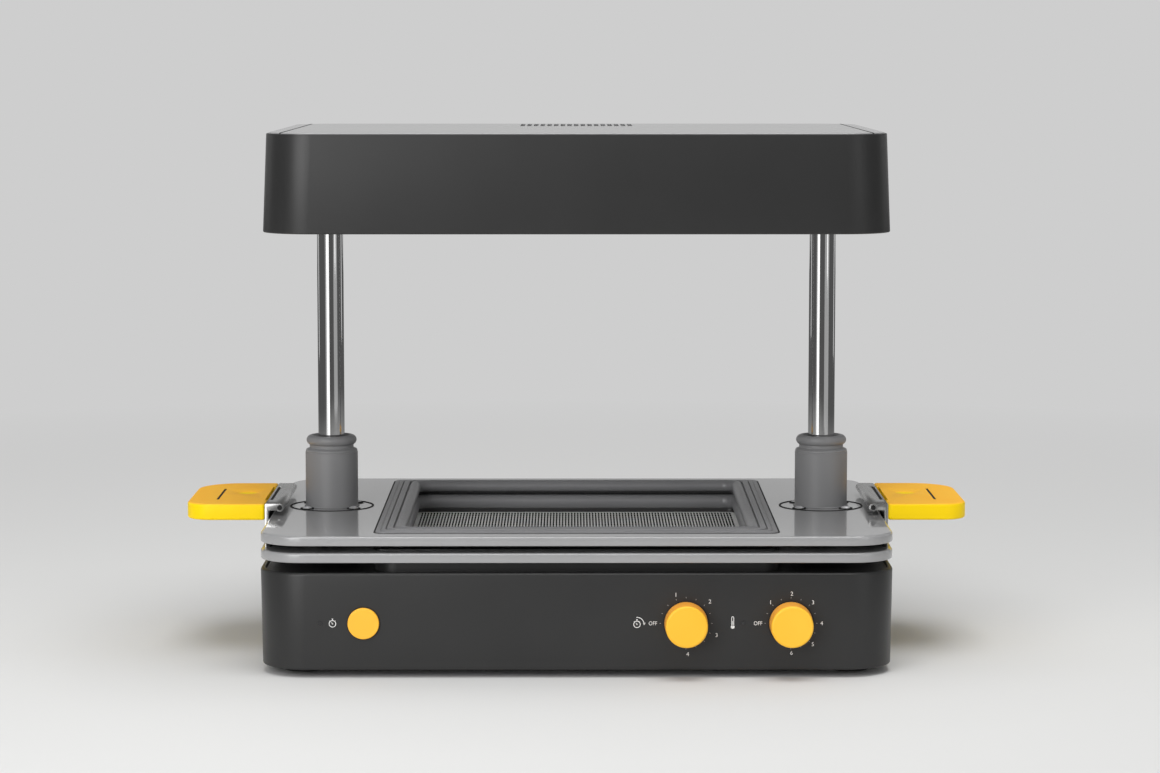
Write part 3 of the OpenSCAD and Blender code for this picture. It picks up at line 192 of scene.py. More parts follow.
def siliconeWithPaintedGapShade(name, darkHex, lightHex, gapShadeHexes, gapZ, gapReach):
    # silicone whose colour is darkened to near black as painted shade in the gap between the trays, below
    # gapZ and beyond gapReach
    material = mouldedPlastic(name, darkHex, lightHex, 0.36, 1.2, 0.02, gleam=0.7)
    tree = material.node_tree
    shader = next(node for node in tree.nodes if node.type == "BSDF_PRINCIPLED")
    unshaded = shader.inputs["Base Color"].links[0].from_socket
    place = addNode(tree, "ShaderNodeTexCoord").outputs["Object"]
    centred = addNode(tree, "ShaderNodeVectorMath", {0: place, 1: (0, -middleY, 0)}, operation="ADD")
    parts = addNode(tree, "ShaderNodeSeparateXYZ", {0: centred}).outputs
    farthest = maths(tree, "MAXIMUM", *[maths(tree, "ABSOLUTE", parts[axis]) for axis in "XY"])
    outside = rangeOf(tree, farthest, 0, 1, (gapReach - 2) * mm, gapReach * mm)
    below = rangeOf(tree, parts["Z"], 1, 0, gapZ * mm, (gapZ + 0.3) * mm)
    # painted shade: a near-black tone, mottled a little
    paintedShade = tintBetween(tree, noiseAt(tree, place, 4), *gapShadeHexes)
    tint = mixed(tree, maths(tree, "MULTIPLY", outside, below), unshaded, paintedShade)
    setInputs(tree, shader, {"Base Color": tint})
    return material


def sheetWithPaintedHoleShade(name, faceHexes, holeShadeHexes):
    # a coated sheet, pale on its face, with painted shade on the walls of its punched holes
    material, tree, shader, place = newMaterial(name, {"Roughness": 0.5, "Specular IOR Level": 0.4})
    normal = addNode(tree, "ShaderNodeNewGeometry").outputs["True Normal"]
    upward = addNode(tree, "ShaderNodeSeparateXYZ", {0: normal}).outputs["Z"]
    cloud = cloudOf(tree, place, 6)
    face, wall = [tintBetween(tree, cloud, *hexes) for hexes in (faceHexes, holeShadeHexes)]
    setInputs(tree, shader, {
        # faces that look up keep the pale coat, the hole walls take the painted shade
        "Base Color": mixed(tree, rangeOf(tree, upward, 0, 1, 0.4, 0.6), wall, face),
        "Normal": bumpOf(tree, noiseAt(tree, place, 0.4, 1.0), 0.01)})
    return material


def printedCircuit(name, resistHex, trackHex, trackMm):
    # green solder resist over copper tracks: the tracks show as slightly lighter straight lines
    material, tree, shader, place = newMaterial(name, {"Roughness": 0.35, "IOR": 1.5})
    tracks = addNode(tree, "ShaderNodeTexVoronoi", {
        "Vector": place, "Scale": 1 / (trackMm * mm)}, distance="CHEBYCHEV")
    share = rangeOf(tree, tracks, 0, 1, 0.2, 0.3)
    setInputs(tree, shader, {"Base Color": tintBetween(tree, share, trackHex, resistHex)})
    return material


def mineralBoard(name, darkHex, lightHex, fibreMm):
    # pressed mineral fibre faced with dark glass tissue: matt, with short fibres lying every way
    material, tree, shader, place = newMaterial(name, {"Roughness": 0.9})
    fibre = noiseAt(tree, place, fibreMm, 4.0, (1, 0.25, 1))
    setInputs(tree, shader, {
        "Base Color": tintBetween(tree, fibre, darkHex, lightHex), "Normal": bumpOf(tree, fibre, 0.2, 0.6)})
    return material


knobFace = nodeSpan("timer_knob")[2] * mm + middleY
handleTop = nodeSpan("handle_right")[5] * mm
slotMaterials = {
    # ABS moulded in dark grey, satin: the casing and the heater cover
    "casing": mouldedPlastic("abs moulded dark grey", "292929", "2c2c2c", 0.37, 0.6, gleam=0.38),
    # powder-coated steel sheet: even, with a low orange peel
    "steel_sheet": mouldedPlastic("steel powder coated black", "2a2a2b", "303031", 0.5, 1.6),
    # natural rubber, moulded: near black and matt
    "rubber": mouldedPlastic("rubber moulded black", "161616", "1d1d1d", 0.75, 0.8, 0.08),
    # zinc-plated steel, turned: bright with a faint bluish cast
    "screws": workedMetal("steel zinc plated turned", "85888c", "b0b3b7", 0.3, 0.2),
    # steel sheet with a matt pale coat, punched through: white lands, with painted shade on the walls of the
    # holes
    "bed_steel": sheetWithPaintedHoleShade("steel coated pale and punched", ("f4f4f2", "fafaf8"), ("0c0c0c", "121212")),
    # nylon moulded in black, satin: fittings at the back and the switches inside
    "black_plastic": mouldedPlastic("nylon moulded black", "1b1b1b", "232323", 0.38),
    # brass, nickel plated and drawn: warm, with fine lines along the pins
    "brass": workedMetal("brass plated pin", "b59a55", "d3bb78", 0.25, 0.2, (1, 0.02, 1)),
    "circuit_board": printedCircuit("glass epoxy circuit board", "14502a", "2f7a45", 5),
    # ABS moulded in warm yellow, satin: the knobs, their sides tinted a darker orange as painted shade
    "yellow": faceAndSideTints("abs moulded yellow sides in painted shade", ("f8a83a", "fcb044"), ("ffbf2e", "ffc436"),
                              "Y", knobFace + 1.5 * mm, knobFace + 0.9 * mm, (0.45, 0.42), 0.4),
    # bearing steel, centreless ground and polished: mirror streaks along the column
    "polished_steel": workedMetal(
        "steel ground and polished", "c8c8c8", "d6d6d6", 0.05, 0.35, (1, 1, 0.004), 0.0005),
    # acrylic, moulded dark and clear: the tiny glossy windows of the lamps
    "window": mouldedPlastic("acrylic moulded smoke", "202021", "262627", 0.2, 5.0, 0.001),
    # silicone sheath, extruded: a dull brown red
    "wire": mouldedPlastic("silicone wire sheath red brown", "6e2a1e", "7a3124", 0.5, 1.0),
    # aluminium sprayed light grey under a clear coat: the trays and the lid, smooth and glossy
    "tray": sprayedLacquer("aluminium lacquered light grey", "959596", "99999a", 0.33, 3.0, 0.004),
    # silicone rubber, compression moulded: smooth, a little soft in its gleam, with painted shade in the gap
    # between the trays
    "silicone": siliconeWithPaintedGapShade(
        "silicone moulded mid grey", "78787a", "7d7d7f", ("0c0c0c", "141414"), 76.9, 105.5),
    # acetal, moulded mid grey, satin: the collars and sleeves
    "collar": mouldedPlastic("acetal moulded mid grey", "7b7b7c", "808081", 0.4, 0.7, 0.015, gleam=0.4),
    # bearing polymer, turned: off white and matt
    "bush": mouldedPlastic("bearing polymer turned", "cdc8b8", "d8d3c4", 0.45, 0.4),
    # spring steel sheet, rolled and nickel plated: the latches, with soft lines across the sheet
    "clip_steel": workedMetal(
        "steel rolled nickel plated", "b4b4b3", "bebebd", 0.27, 0.8, (1, 0.02, 1), 0.001),
    # aluminium sheet, bright rolled: nearly a mirror
    "reflector": workedMetal("aluminium bright rolled", "d6d7d8", "ececed", 0.16, 0.6, (0.02, 1, 1)),
    # steatite and quartz, fired and glazed: cream white with a gleam
    "ceramic": mouldedPlastic("ceramic fired glazed", "d9d3c2", "e6e1d3", 0.3, 1.0, 0.02),
    "insulation": mineralBoard("mineral fibre board tissue faced", "232221", "393836", 0.8),
}
# tumbled nickel plate, matt: nearly white screw heads on the collars
tumbledNickel = workedMetal("steel nickel plated tumbled", "ececee", "f6f6f8", 0.6, 0.2)
# the start button is the knobs' plastic with one finish all over, the handles' tops are grained and tinted
# more orange than their lemon sides
buttonAbs = mouldedPlastic("abs moulded yellow", "ffba2e", "ffbf36", 0.36, 0.5, 0.04)
handleAbs = faceAndSideTints("abs moulded yellow grained top", ("ffd800", "ffda04"), ("ffbc36", "ffc23c"),
                            "Z", handleTop - 0.9 * mm, handleTop - 0.2 * mm, (0.4, 0.75), 0.2)
# screen-printing ink: thin, flat and matt, and thinner still on the ticks
whiteInk = mouldedPlastic("ink screen printed white", "dededc", "e6e6e4", 0.6, 0.3, 0.005)
greyInk = mouldedPlastic("ink screen printed thin", "9c9c9a", "a6a6a4", 0.6, 0.3, 0.005)

slotOfNode = {row["node"]: row["material_slot"] for row in frame["record"]["subparts"]}
for nodeName, nodeObject in frame["nodes"].items():
    for nodeSlot in nodeObject.material_slots:
        nodeSlot.material = slotMaterials[slotOfNode[nodeName]]
print("materials made")


# Mesh tools, in millimetres from the casing's middle

def arcPoints(x, y, radius, fromDeg, toDeg, steps=5):
    angles = [math.radians(fromDeg + (toDeg - fromDeg) * i / steps) for i in range(steps + 1)]
    return [(x + radius * math.cos(a), y + radius * math.sin(a)) for a in angles]


def pathOfBox(span, radii, inset=0.0, steps=10):
    # a rectangle with a rounded corner at each end, anticlockwise; inset draws it in
    x0, x1, y0, y1 = span[0] + inset, span[1] - inset, span[2] + inset, span[3] - inset
    radii = radii if isinstance(radii, tuple) else (radii,) * 4
    corners = ((x1, y1, -1, -1), (x0, y1, 1, -1), (x0, y0, 1, 1), (x1, y0, -1, 1))
    points = []
    for number, (x, y, sx, sy) in enumerate(corners):
        r = max(radii[number] - inset, 0.05)
        points += arcPoints(x + sx * r, y + sy * r, r, 90 * number, 90 * number + 90, steps)
    return points


def squarePath(width, depth, radius, inset=0.0, steps=10):
    return pathOfBox((-width / 2, width / 2, -depth / 2, depth / 2), radius, inset, steps)


def circlePath(x, y, radius, steps):
    turns = [2 * math.pi * i / steps for i in range(steps)]
    return [(x + radius * math.cos(t), y + radius * math.sin(t)) for t in turns]


def roundOver(bottom, top, low, high, steps, support=0.2):
    # (inset, z) points from a flat underside, up a wall with rounded edges, to a flat top
    wall = arcPoints(bottom, low + bottom, bottom, 270, 180, steps)
    wall += arcPoints(top, high - top, top, 180, 90, steps)
    return [(bottom + support, low)] + wall + [(top + support, high)]


def newObject(name, bm):
    bmesh.ops.remove_doubles(bm, verts=bm.verts, dist=0.0005)
    bmesh.ops.recalc_face_normals(bm, faces=bm.faces)
    toFrame = Matrix.Translation((0, middleY, 0)) @ Matrix.Scale(mm, 4)
    bmesh.ops.transform(bm, matrix=toFrame, verts=bm.verts)
    mesh = bpy.data.meshes.new(name)
    bm.to_mesh(mesh)
    bm.free()
    return showObject(name, mesh)


def shaped(name, add, *values, **named):
    # a new object made by one of the add functions
    bm = bmesh.new()
    add(bm, *values, **named)
    return newObject(name, bm)


def skinRings(bm, rings, closed=False):
    rows = [[bm.verts.new(point) for point in ring] for ring in rings]
    pairs = list(zip(rows, rows[1:])) + ([(rows[-1], rows[0])] if closed else [])
    for lower, upper in pairs:
        for i in range(len(lower)):
            j = (i + 1) % len(lower)
            bm.faces.new((lower[i], lower[j], upper[j], upper[i]))
    return rows


def addSweep(bm, width, depth, radiusAt, profile, steps):
    # a closed section of (inset, z) points swept round a rounded rectangle
    rings = []
    for inset, z in profile:
        path = squarePath(width - 2 * inset, depth - 2 * inset, radiusAt(inset), 0, steps)
        rings.append([(x, y, z) for x, y in path])
    skinRings(bm, rings, closed=True)


def addPlate(bm, stacks):
    # a plate with holes: each stack is one boundary, as (points, z) from the bottom up
    tops, bottoms = [], []
    for stack in stacks:
        rows = skinRings(bm, [[(x, y, z) for x, y in points] for points, z in stack])
        for row, rim in ((rows[0], bottoms), (rows[-1], tops)):
            rim += [bm.edges.get((row[i], row[(i + 1) % len(row)])) for i in range(len(row))]
    for rim in (tops, bottoms):
        bmesh.ops.triangle_fill(bm, use_beauty=True, edges=rim)


def addLathe(bm, profile, centre, axis="z", steps=96, closed=False):
    # (radius, height) points turned round an upright axis, or one to the front; radius 0 is a point
    x0, y0, z0 = centre
    rows = []
    for r, h in profile:
        count = steps if r > 1e-6 else 1
        circle = [(r * math.cos(t), r * math.sin(t)) for t in (2 * math.pi * i / steps for i in range(count))]
        spots = [(x0 + p, y0 + q, z0 + h) if axis == "z" else (x0 + p, y0 - h, z0 + q) for p, q in circle]
        rows.append([bm.verts.new(spot) for spot in spots])
    pairs = list(zip(rows, rows[1:])) + ([(rows[-1], rows[0])] if closed else [])
    for low, high in pairs:
        for i in range(steps):
            j = (i + 1) % steps
            if len(low) == 1:
                bm.faces.new((low[0], high[j], high[i]))
            elif len(high) == 1:
                bm.faces.new((low[i], low[j], high[0]))
            else:
                bm.faces.new((low[i], low[j], high[j], high[i]))


def plugRings(radius, low, high):
    return [(0, low), (radius, low), (radius, high), (0, high)]


def addPrism(bm, points, low, high):
    # a flat outline given height, for cutters and strips
    rows = skinRings(bm, [[(x, y, low) for x, y in points], [(x, y, high) for x, y in points]])
    bm.faces.new(rows[0][::-1])
    bm.faces.new(rows[1])


def addBox(bm, span):
    x0, x1, y0, y1, z0, z1 = span
    addPrism(bm, [(x0, y0), (x1, y0), (x1, y1), (x0, y1)], z0, z1)


def bakedMesh(shown):
    graph = bpy.context.evaluated_depsgraph_get()
    return bpy.data.meshes.new_from_object(shown.evaluated_get(graph), depsgraph=graph)


def bakeShape(piece):
    # the shape with its modifiers, as a plain mesh
    shape = bakedMesh(piece)
    piece.modifiers.clear()
    piece.data = shape
    return piece


def cutWith(piece, bm):
    cutter = newObject("cutter", bm)
    cut = piece.modifiers.new("cut", "BOOLEAN")
    cut.operation, cut.solver, cut.object = "DIFFERENCE", "EXACT", cutter
    bakeShape(piece)
    bpy.data.objects.remove(cutter)


def softCopy(nodeName, pieceName, edgeMm, angle, segments):
    # a copy of a CAD node with its loose triangles joined and its sharp edges rounded
    piece = showObject(pieceName, frame["nodes"][nodeName].data.copy())
    bm = bmesh.new()
    bm.from_mesh(piece.data)
    bmesh.ops.remove_doubles(bm, verts=bm.verts, dist=0.01 * mm)
    bmesh.ops.dissolve_limit(bm, angle_limit=math.radians(1), verts=bm.verts, edges=bm.edges)
    bm.to_mesh(piece.data)
    bm.free()
    if "custom_normal" in piece.data.attributes:
        piece.data.attributes.remove(piece.data.attributes["custom_normal"])
    edge = piece.modifiers.new("edges", "BEVEL")
    edge.width, edge.segments, edge.limit_method = edgeMm * mm, segments, "ANGLE"
    edge.angle_limit, edge.use_clamp_overlap = math.radians(angle), True
    return bakeShape(piece)


def finishPiece(piece, body, slotName, *nodes, look=None, sharpAngle=38):
    mesh = piece.data
    mesh.materials.clear()
    mesh.materials.append(look or slotMaterials[slotName])
    mesh.polygons.foreach_set("material_index", [0] * len(mesh.polygons))
    mesh.polygons.foreach_set("use_smooth", [True] * len(mesh.polygons))
    mesh.set_sharp_from_angle(angle=math.radians(sharpAngle))
    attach(piece, body)
    if nodes:
        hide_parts(*nodes)


def makeShadeRings(name, rings, body):
    # thin black rings in the joints, as painted shade there: (centre, axis, inner radius, outer radius, low,
    # high)
    bm = bmesh.new()
    for centre, axis, inner, outer, low, high in rings:
        section = [(inner, low), (outer, low), (outer, high), (inner, high)]
        addLathe(bm, section, centre, axis, 72, closed=True)
    finishPiece(newObject(name, bm), body, "rubber")


# Geometry node tools

def newTree(name, sockets):
    tree = bpy.data.node_groups.new(name, "GeometryNodeTree")
    tree.interface.new_socket("Geometry", in_out="OUTPUT", socket_type="NodeSocketGeometry")
    for label, kind in sockets.items():
        tree.interface.new_socket(label, in_out="INPUT", socket_type="NodeSocket" + kind)
    return tree, addNode(tree, "NodeGroupInput").outputs


def endTree(tree, shape, material):
    real = addNode(tree, "GeometryNodeRealizeInstances", {0: shape})
    coloured = addNode(tree, "GeometryNodeSetMaterial", {"Geometry": real, "Material": material})
    addNode(tree, "NodeGroupOutput", {0: coloured})
    return tree


def runTree(piece, tree, values):
    # sets the named inputs by their identifiers, then keeps the result as a plain mesh
    modifier = piece.modifiers.new("pattern", "NODES")
    modifier.node_group = tree
    for item in tree.interface.items_tree:
        if item.item_type == "SOCKET" and item.in_out == "INPUT" and item.name in values:
            modifier[item.identifier] = values[item.name]
    return bakeShape(piece)


def emptyPiece(name):
    return showObject(name, bpy.data.meshes.new(name))


def joinedShapes(tree, *shapes):
    joined = addNode(tree, "GeometryNodeJoinGeometry")
    for shape in shapes:
        setInputs(tree, joined, {0: shape})
    return joined


def movedShape(tree, shape, **moves):
    return addNode(tree, "GeometryNodeTransform", {"Geometry": shape, **moves})


def cutShape(tree, shape, tool):
    return addNode(tree, "GeometryNodeMeshBoolean", {"Mesh 1": shape, "Mesh 2": tool},
                   operation="DIFFERENCE", solver="EXACT")


def placedShapes(tree, points, shape, **turns):
    return addNode(tree, "GeometryNodeInstanceOnPoints", {"Points": points, "Instance": shape, **turns})


def combined(tree, **parts):
    return addNode(tree, "ShaderNodeCombineXYZ", parts)


def rectangle(tree, width, height):
    return addNode(tree, "GeometryNodeCurvePrimitiveQuadrilateral", {
        "Width": width, "Height": height}, mode="RECTANGLE")


def slotOutline(tree, given, roundShare, steps):
    # a slot whose ends are rounded by a share of its width
    return addNode(tree, "GeometryNodeFilletCurve", {
        "Curve": rectangle(tree, given["Slot Width"], given["Slot Length"]),
        "Radius": maths(tree, "MULTIPLY", given["Slot Width"], roundShare), "Count": steps}, mode="POLY")


def raisedSolid(tree, face, height):
    # raises a flat face to a closed solid
    raised = addNode(tree, "GeometryNodeExtrudeMesh", {
        "Mesh": face, "Offset": combined(tree, Z=height), "Offset Scale": 1.0, "Individual": False})
    joined = joinedShapes(tree, raised, addNode(tree, "GeometryNodeFlipFaces", {0: face}))
    return addNode(tree, "GeometryNodeMergeByDistance", {"Geometry": joined, "Distance": 1e-6})


def slottedSheetTree():
    # a sheet full of narrow slots: one cell with its slot, repeated along and across
    tree, given = newTree("slotted sheet", {
        "Pitch": "Float", "Row": "Float", "Slot Width": "Float", "Slot Length": "Float", "Columns": "Int",
        "Rows": "Int", "Thickness": "Float", "Place": "Vector", "Material": "Material"})
    slot = slotOutline(tree, given, 0.48, 2)
    cellEdge = rectangle(tree, given["Pitch"], given["Row"])
    cell = addNode(tree, "GeometryNodeFillCurve", {0: joinedShapes(tree, cellEdge, slot)})
    sizes = [maths(tree, "MULTIPLY", maths(tree, "SUBTRACT", given[count], 1.0), given[step])
             for count, step in (("Columns", "Pitch"), ("Rows", "Row"))]
    grid = addNode(tree, "GeometryNodeMeshGrid", {
        "Size X": sizes[0], "Size Y": sizes[1], "Vertices X": given["Columns"], "Vertices Y": given["Rows"]})
    loose = addNode(tree, "GeometryNodeRealizeInstances", {0: placedShapes(tree, grid, cell)})
    whole = addNode(tree, "GeometryNodeMergeByDistance", {"Geometry": loose, "Distance": 1e-5})
    solid = raisedSolid(tree, whole, given["Thickness"])
    return endTree(tree, movedShape(tree, solid, Translation=given["Place"]), given["Material"])


def slotRowTree():
    # cuts a row of rounded slots through the shape that it is given
    tree, given = newTree("row of slots", {
        "Shape": "Geometry", "Slot Width": "Float", "Slot Length": "Float", "Count": "Int",
        "Pitch": "Float", "Start": "Vector", "Depth": "Float", "Material": "Material"})
    face = addNode(tree, "GeometryNodeFillCurve", {0: slotOutline(tree, given, 0.495, 6)})
    row = addNode(tree, "GeometryNodeMeshLine", {
        "Count": given["Count"], "Start Location": given["Start"],
        "Offset": combined(tree, X=given["Pitch"])}, mode="OFFSET")
    slots = placedShapes(tree, row, raisedSolid(tree, face, given["Depth"]))
    solid = addNode(tree, "GeometryNodeRealizeInstances", {0: slots})
    return endTree(tree, cutShape(tree, given["Shape"], solid), given["Material"])


# in millimetres; the recess is as wide and as long as a share of the head's radius, and its depth is a
# share of the head's height
screwShape = {"shankRadius": 1.5, "cutBlock": 50, "recessShare": 0.3, "recessDeep": 1.7, "recessLong": 1.05}


def crossScrewTree():
    # puts a domed screw with a cross recess on each point, turned as its "turn" attribute says
    tree, given = newTree("cross recess screws", {
        "Points": "Geometry", "Head Radius": "Float", "Head Height": "Float", "Shank Radius": "Float",
        "Recess Width": "Float", "Material": "Material"})
    radius, height = given["Head Radius"], given["Head Height"]
    ball = addNode(tree, "GeometryNodeMeshUVSphere", {"Segments": 32, "Rings": 16, "Radius": radius})
    head = movedShape(tree, ball, Scale=combined(tree, X=1.0, Y=1.0, Z=maths(tree, "DIVIDE", height, radius)))
    block = screwShape["cutBlock"] * mm
    lower = addNode(tree, "GeometryNodeMeshCube", {"Size": (block, block, block)})
    tools = [movedShape(tree, lower, Translation=(0, 0, -block / 2))]
    bar = combined(tree, X=maths(tree, "MULTIPLY", radius, screwShape["recessLong"]),
                   Y=given["Recess Width"], Z=maths(tree, "MULTIPLY", height, screwShape["recessDeep"]))
    for turn in (0.0, math.pi / 2):
        box = addNode(tree, "GeometryNodeMeshCube", {"Size": bar})
        tools.append(movedShape(tree, box, Translation=combined(tree, Z=height), Rotation=(0, 0, turn)))
    for tool in tools:
        head = cutShape(tree, head, tool)
    shank = addNode(tree, "GeometryNodeMeshCylinder", {
        "Vertices": 24, "Radius": given["Shank Radius"], "Depth": 1.0})
    hung = movedShape(tree, shank, Translation=(0, 0, -0.5))
    turn = addNode(tree, "GeometryNodeInputNamedAttribute", {"Name": "turn"}, data_type="FLOAT_VECTOR")
    rotation = addNode(tree, "FunctionNodeEulerToRotation", {0: turn})
    reach = addNode(tree, "GeometryNodeInputNamedAttribute", {"Name": "reach"}, data_type="FLOAT")
    heads = placedShapes(tree, given["Points"], head, Rotation=rotation)
    shanks = placedShapes(tree, given["Points"], hung, Rotation=rotation,
                          Scale=combined(tree, X=1.0, Y=1.0, Z=reach))
    return endTree(tree, joinedShapes(tree, heads, shanks), given["Material"])


screwTree = crossScrewTree()
headTurns = {"up": (0, 0), "down": (math.pi, 0), "back": (-math.pi / 2, 0)}


def screwSet(name, places, headRadius, headHeight, body, *nodes, metal=slotMaterials["screws"]):
    # places: (x, y, z, direction of the head, reach of the shank), in millimetres
    piece = emptyPiece(name)
    mesh = piece.data
    mesh.vertices.add(len(places))
    turns, reaches, spots = [], [], []
    generator = random.Random(7)
    for x, y, z, direction, reach in places:
        spots += [x * mm, y * mm + middleY, z * mm]
        turns += [*headTurns[direction], generator.uniform(0, math.pi / 2)]
        reaches.append(reach * mm)
    mesh.vertices.foreach_set("co", spots)
    mesh.attributes.new("turn", "FLOAT_VECTOR", "POINT").data.foreach_set("vector", turns)
    mesh.attributes.new("reach", "FLOAT", "POINT").data.foreach_set("value", reaches)
    runTree(piece, screwTree, {
        "Head Radius": headRadius * mm, "Head Height": headHeight * mm,
        "Shank Radius": screwShape["shankRadius"] * mm,
        "Recess Width": headRadius * screwShape["recessShare"] * mm, "Material": metal})
    finishPiece(piece, body, "screws", *nodes, look=metal, sharpAngle=30)


def cornerScrews(middle, corner, z, direction, reach):
    # four screws round a middle point
    places = [(middle[0] + i * corner[0], middle[1] + j * corner[1]) for i in (-1, 1) for j in (-1, 1)]
    return [(x, y, z, direction, reach) for x, y in places]


# Base casing

columnX = 150
sides = ((-1, "left"), (1, "right"))
casing = {"radius": 28, "wall": 3, "rimRound": 1.6, "lipRound": 0.4, "footRound": 1.1, "draft": 0.8,
          "ledge": 4, "ledgeTop": 57.2, "ledgeHeight": 3, "buttonHole": 9.7, "spindleHole": 4.55,
          "windowHole": 1.35, "windowInset": 1.3, "hoseHole": 19.05, "cutIn": 8, "cutOut": 4}
backPanel = {"x": (centreOf("mains_inlet")[0] + centreOf("rocker_frame")[0]) / 2, "halfWidth": 31,
             "halfHeight": 13, "back": 6, "sunk": 2.2, "cutIn": 9,
             "laps": (("mains_inlet", 2.35, 2.35), ("rocker_frame", 1.8, 1.4))}


def panelSpan(z, back, front):
    # the rear panel's box, between two depths behind the casing's back face
    x, half, tall = backPanel["x"], backPanel["halfWidth"], backPanel["halfHeight"]
    return (x - half, x + half, rearY - back, rearY - front, z - tall, z + tall)


def makeCasing():
    c = casing
    x0, x1, y0, y1, low, high = nodeSpan("base_shell")
    foot, rim, lip, wall = c["footRound"], c["rimRound"], c["lipRound"], c["wall"]
    ledge, ledgeTop, ledgeLow = wall + c["ledge"], c["ledgeTop"], c["ledgeTop"] - c["ledgeHeight"]
    profile = [(p + c["draft"], z) for p, z in arcPoints(foot, low + foot, foot, 270, 180)]
    profile += arcPoints(rim, high - rim, rim, 180, 90)
    profile += arcPoints(wall - lip, high - lip, lip, 90, 0, 3)
    profile += [(wall, ledgeTop), (ledge, ledgeTop), (ledge, ledgeLow), (wall, ledgeLow), (wall, low)]
    shell = shaped("baseCasing", addSweep, x1 - x0, y1 - y0, lambda inset: max(c["radius"] - inset, 1),
                   profile, 16)
    lamps, (buttonX, controlZ) = nodeSpan("indicator_windows"), centreOf("start_button")
    holes = [(buttonX, c["buttonHole"])]
    holes += [(centreOf(name)[0], c["spindleHole"]) for name in ("timer_knob", "heater_knob")]
    holes += [(lamps[0] + c["windowInset"], c["windowHole"]), (lamps[1] - c["windowInset"], c["windowHole"])]
    inside, outside = c["cutIn"], c["cutOut"]
    bm = bmesh.new()
    for x, r in holes:
        addLathe(bm, plugRings(r, -inside, outside), (x, frontY, controlZ), "y", 48)
    hosePlace = (0, rearY, centreOf("hose_port")[1])
    addLathe(bm, plugRings(c["hoseHole"], -outside, inside), hosePlace, "y", 64)
    addBox(bm, panelSpan(controlZ, inside, -outside))
    cutWith(shell, bm)
    finishPiece(shell, "root", "casing", "base_shell")


def makeRearPanel():
    # the sunk panel in the casing's back that carries the mains inlet and the rocker
    z = centreOf("mains_inlet")[1]
    panel = shaped("rearPanel", addBox, panelSpan(z, backPanel["back"], backPanel["sunk"]))
    bm = bmesh.new()
    for nodeName, lap, drop in backPanel["laps"]:
        x0, x1, y0, y1, low, high = nodeSpan(nodeName)
        addBox(bm, (x0 + lap, x1 - lap, rearY - backPanel["cutIn"], rearY, low + drop, high - drop))
    cutWith(panel, bm)
    finishPiece(panel, "root", "casing", "base_shell")


makeCasing()
makeRearPanel()
print("casing made")

# Bed

bedSurround = {"topRound": 1.4, "innerRound": 0.5, "radius": 14, "leastRadius": 6, "gap": 0.05,
               "shelf": 5, "shelfDrop": 0.02}
bedSheet = {"pitch": 1.92, "row": 9.5, "columns": 104, "rows": 21, "slotWidth": 1.04, "slotLength": 8.9,
            "radius": 6, "fieldRadius": 0.06, "fieldGap": 0.02}


def makeBedSurround():
    s = bedSurround
    x0, x1, y0, y1, low, high = nodeSpan("bed_surround")
    plate = nodeSpan("bed_plate")
    outer, inner = s["topRound"], s["innerRound"]
    lap, shelfZ = (x1 - plate[1]) - s["gap"], plate[4] - s["shelfDrop"]
    shelf = lap + s["shelf"]
    profile = [(0, low)] + arcPoints(outer, high - outer, outer, 180, 90)
    profile += arcPoints(lap - inner, high - inner, inner, 90, 0, 3)
    profile += [(lap, shelfZ), (shelf, shelfZ), (shelf, low)]
    surround = shaped("bedSurround", addSweep, x1 - x0, y1 - y0,
                      lambda inset: max(s["radius"] - inset, s["leastRadius"]), profile, 12)
    finishPiece(surround, "root", "casing", "bed_surround")


def makeBedSheet():
    s = bedSheet
    x0, x1, y0, y1, low, high = nodeSpan("bed_plate")
    slots = runTree(emptyPiece("bedPlate"), slottedSheetTree(), {
        "Pitch": s["pitch"] * mm, "Row": s["row"] * mm, "Columns": s["columns"], "Rows": s["rows"],
        "Slot Width": s["slotWidth"] * mm, "Slot Length": s["slotLength"] * mm,
        "Thickness": (high - low) * mm, "Place": (0, middleY, low * mm),
        "Material": slotMaterials["bed_steel"]})
    finishPiece(slots, "root", "bed_steel", "bed_plate")
    width, depth = s["pitch"] * s["columns"] + s["fieldGap"], s["row"] * s["rows"] + s["fieldGap"]
    rim = shaped("bedRim", addPlate, [
        [(squarePath(x1 - x0, x1 - x0, s["radius"]), z) for z in (low, high)],
        [(squarePath(width, depth, s["fieldRadius"], 0, 1), z) for z in (low, high)]])
    finishPiece(rim, "root", "bed_steel", "bed_plate")
    print("bed made", len(slots.data.polygons))


makeBedSurround()
makeBedSheet()

# Trays

tray = {"radius": 25, "topRound": 1.5, "bottomRound": 0.45, "seam": 0.9, "openingRadius": 5,
        "rebateDrop": 2.5, "rebateIn": 8.5, "lipDrop": 0.12, "lipFlare": 0.24, "lipEnd": 0.6,
        "upperBore": 14.05, "lowerBore": 13.05, "recessRadius": 25.6, "recessDepth": 3,
        "holeEdge": 0.1, "holeEnd": 0.3}


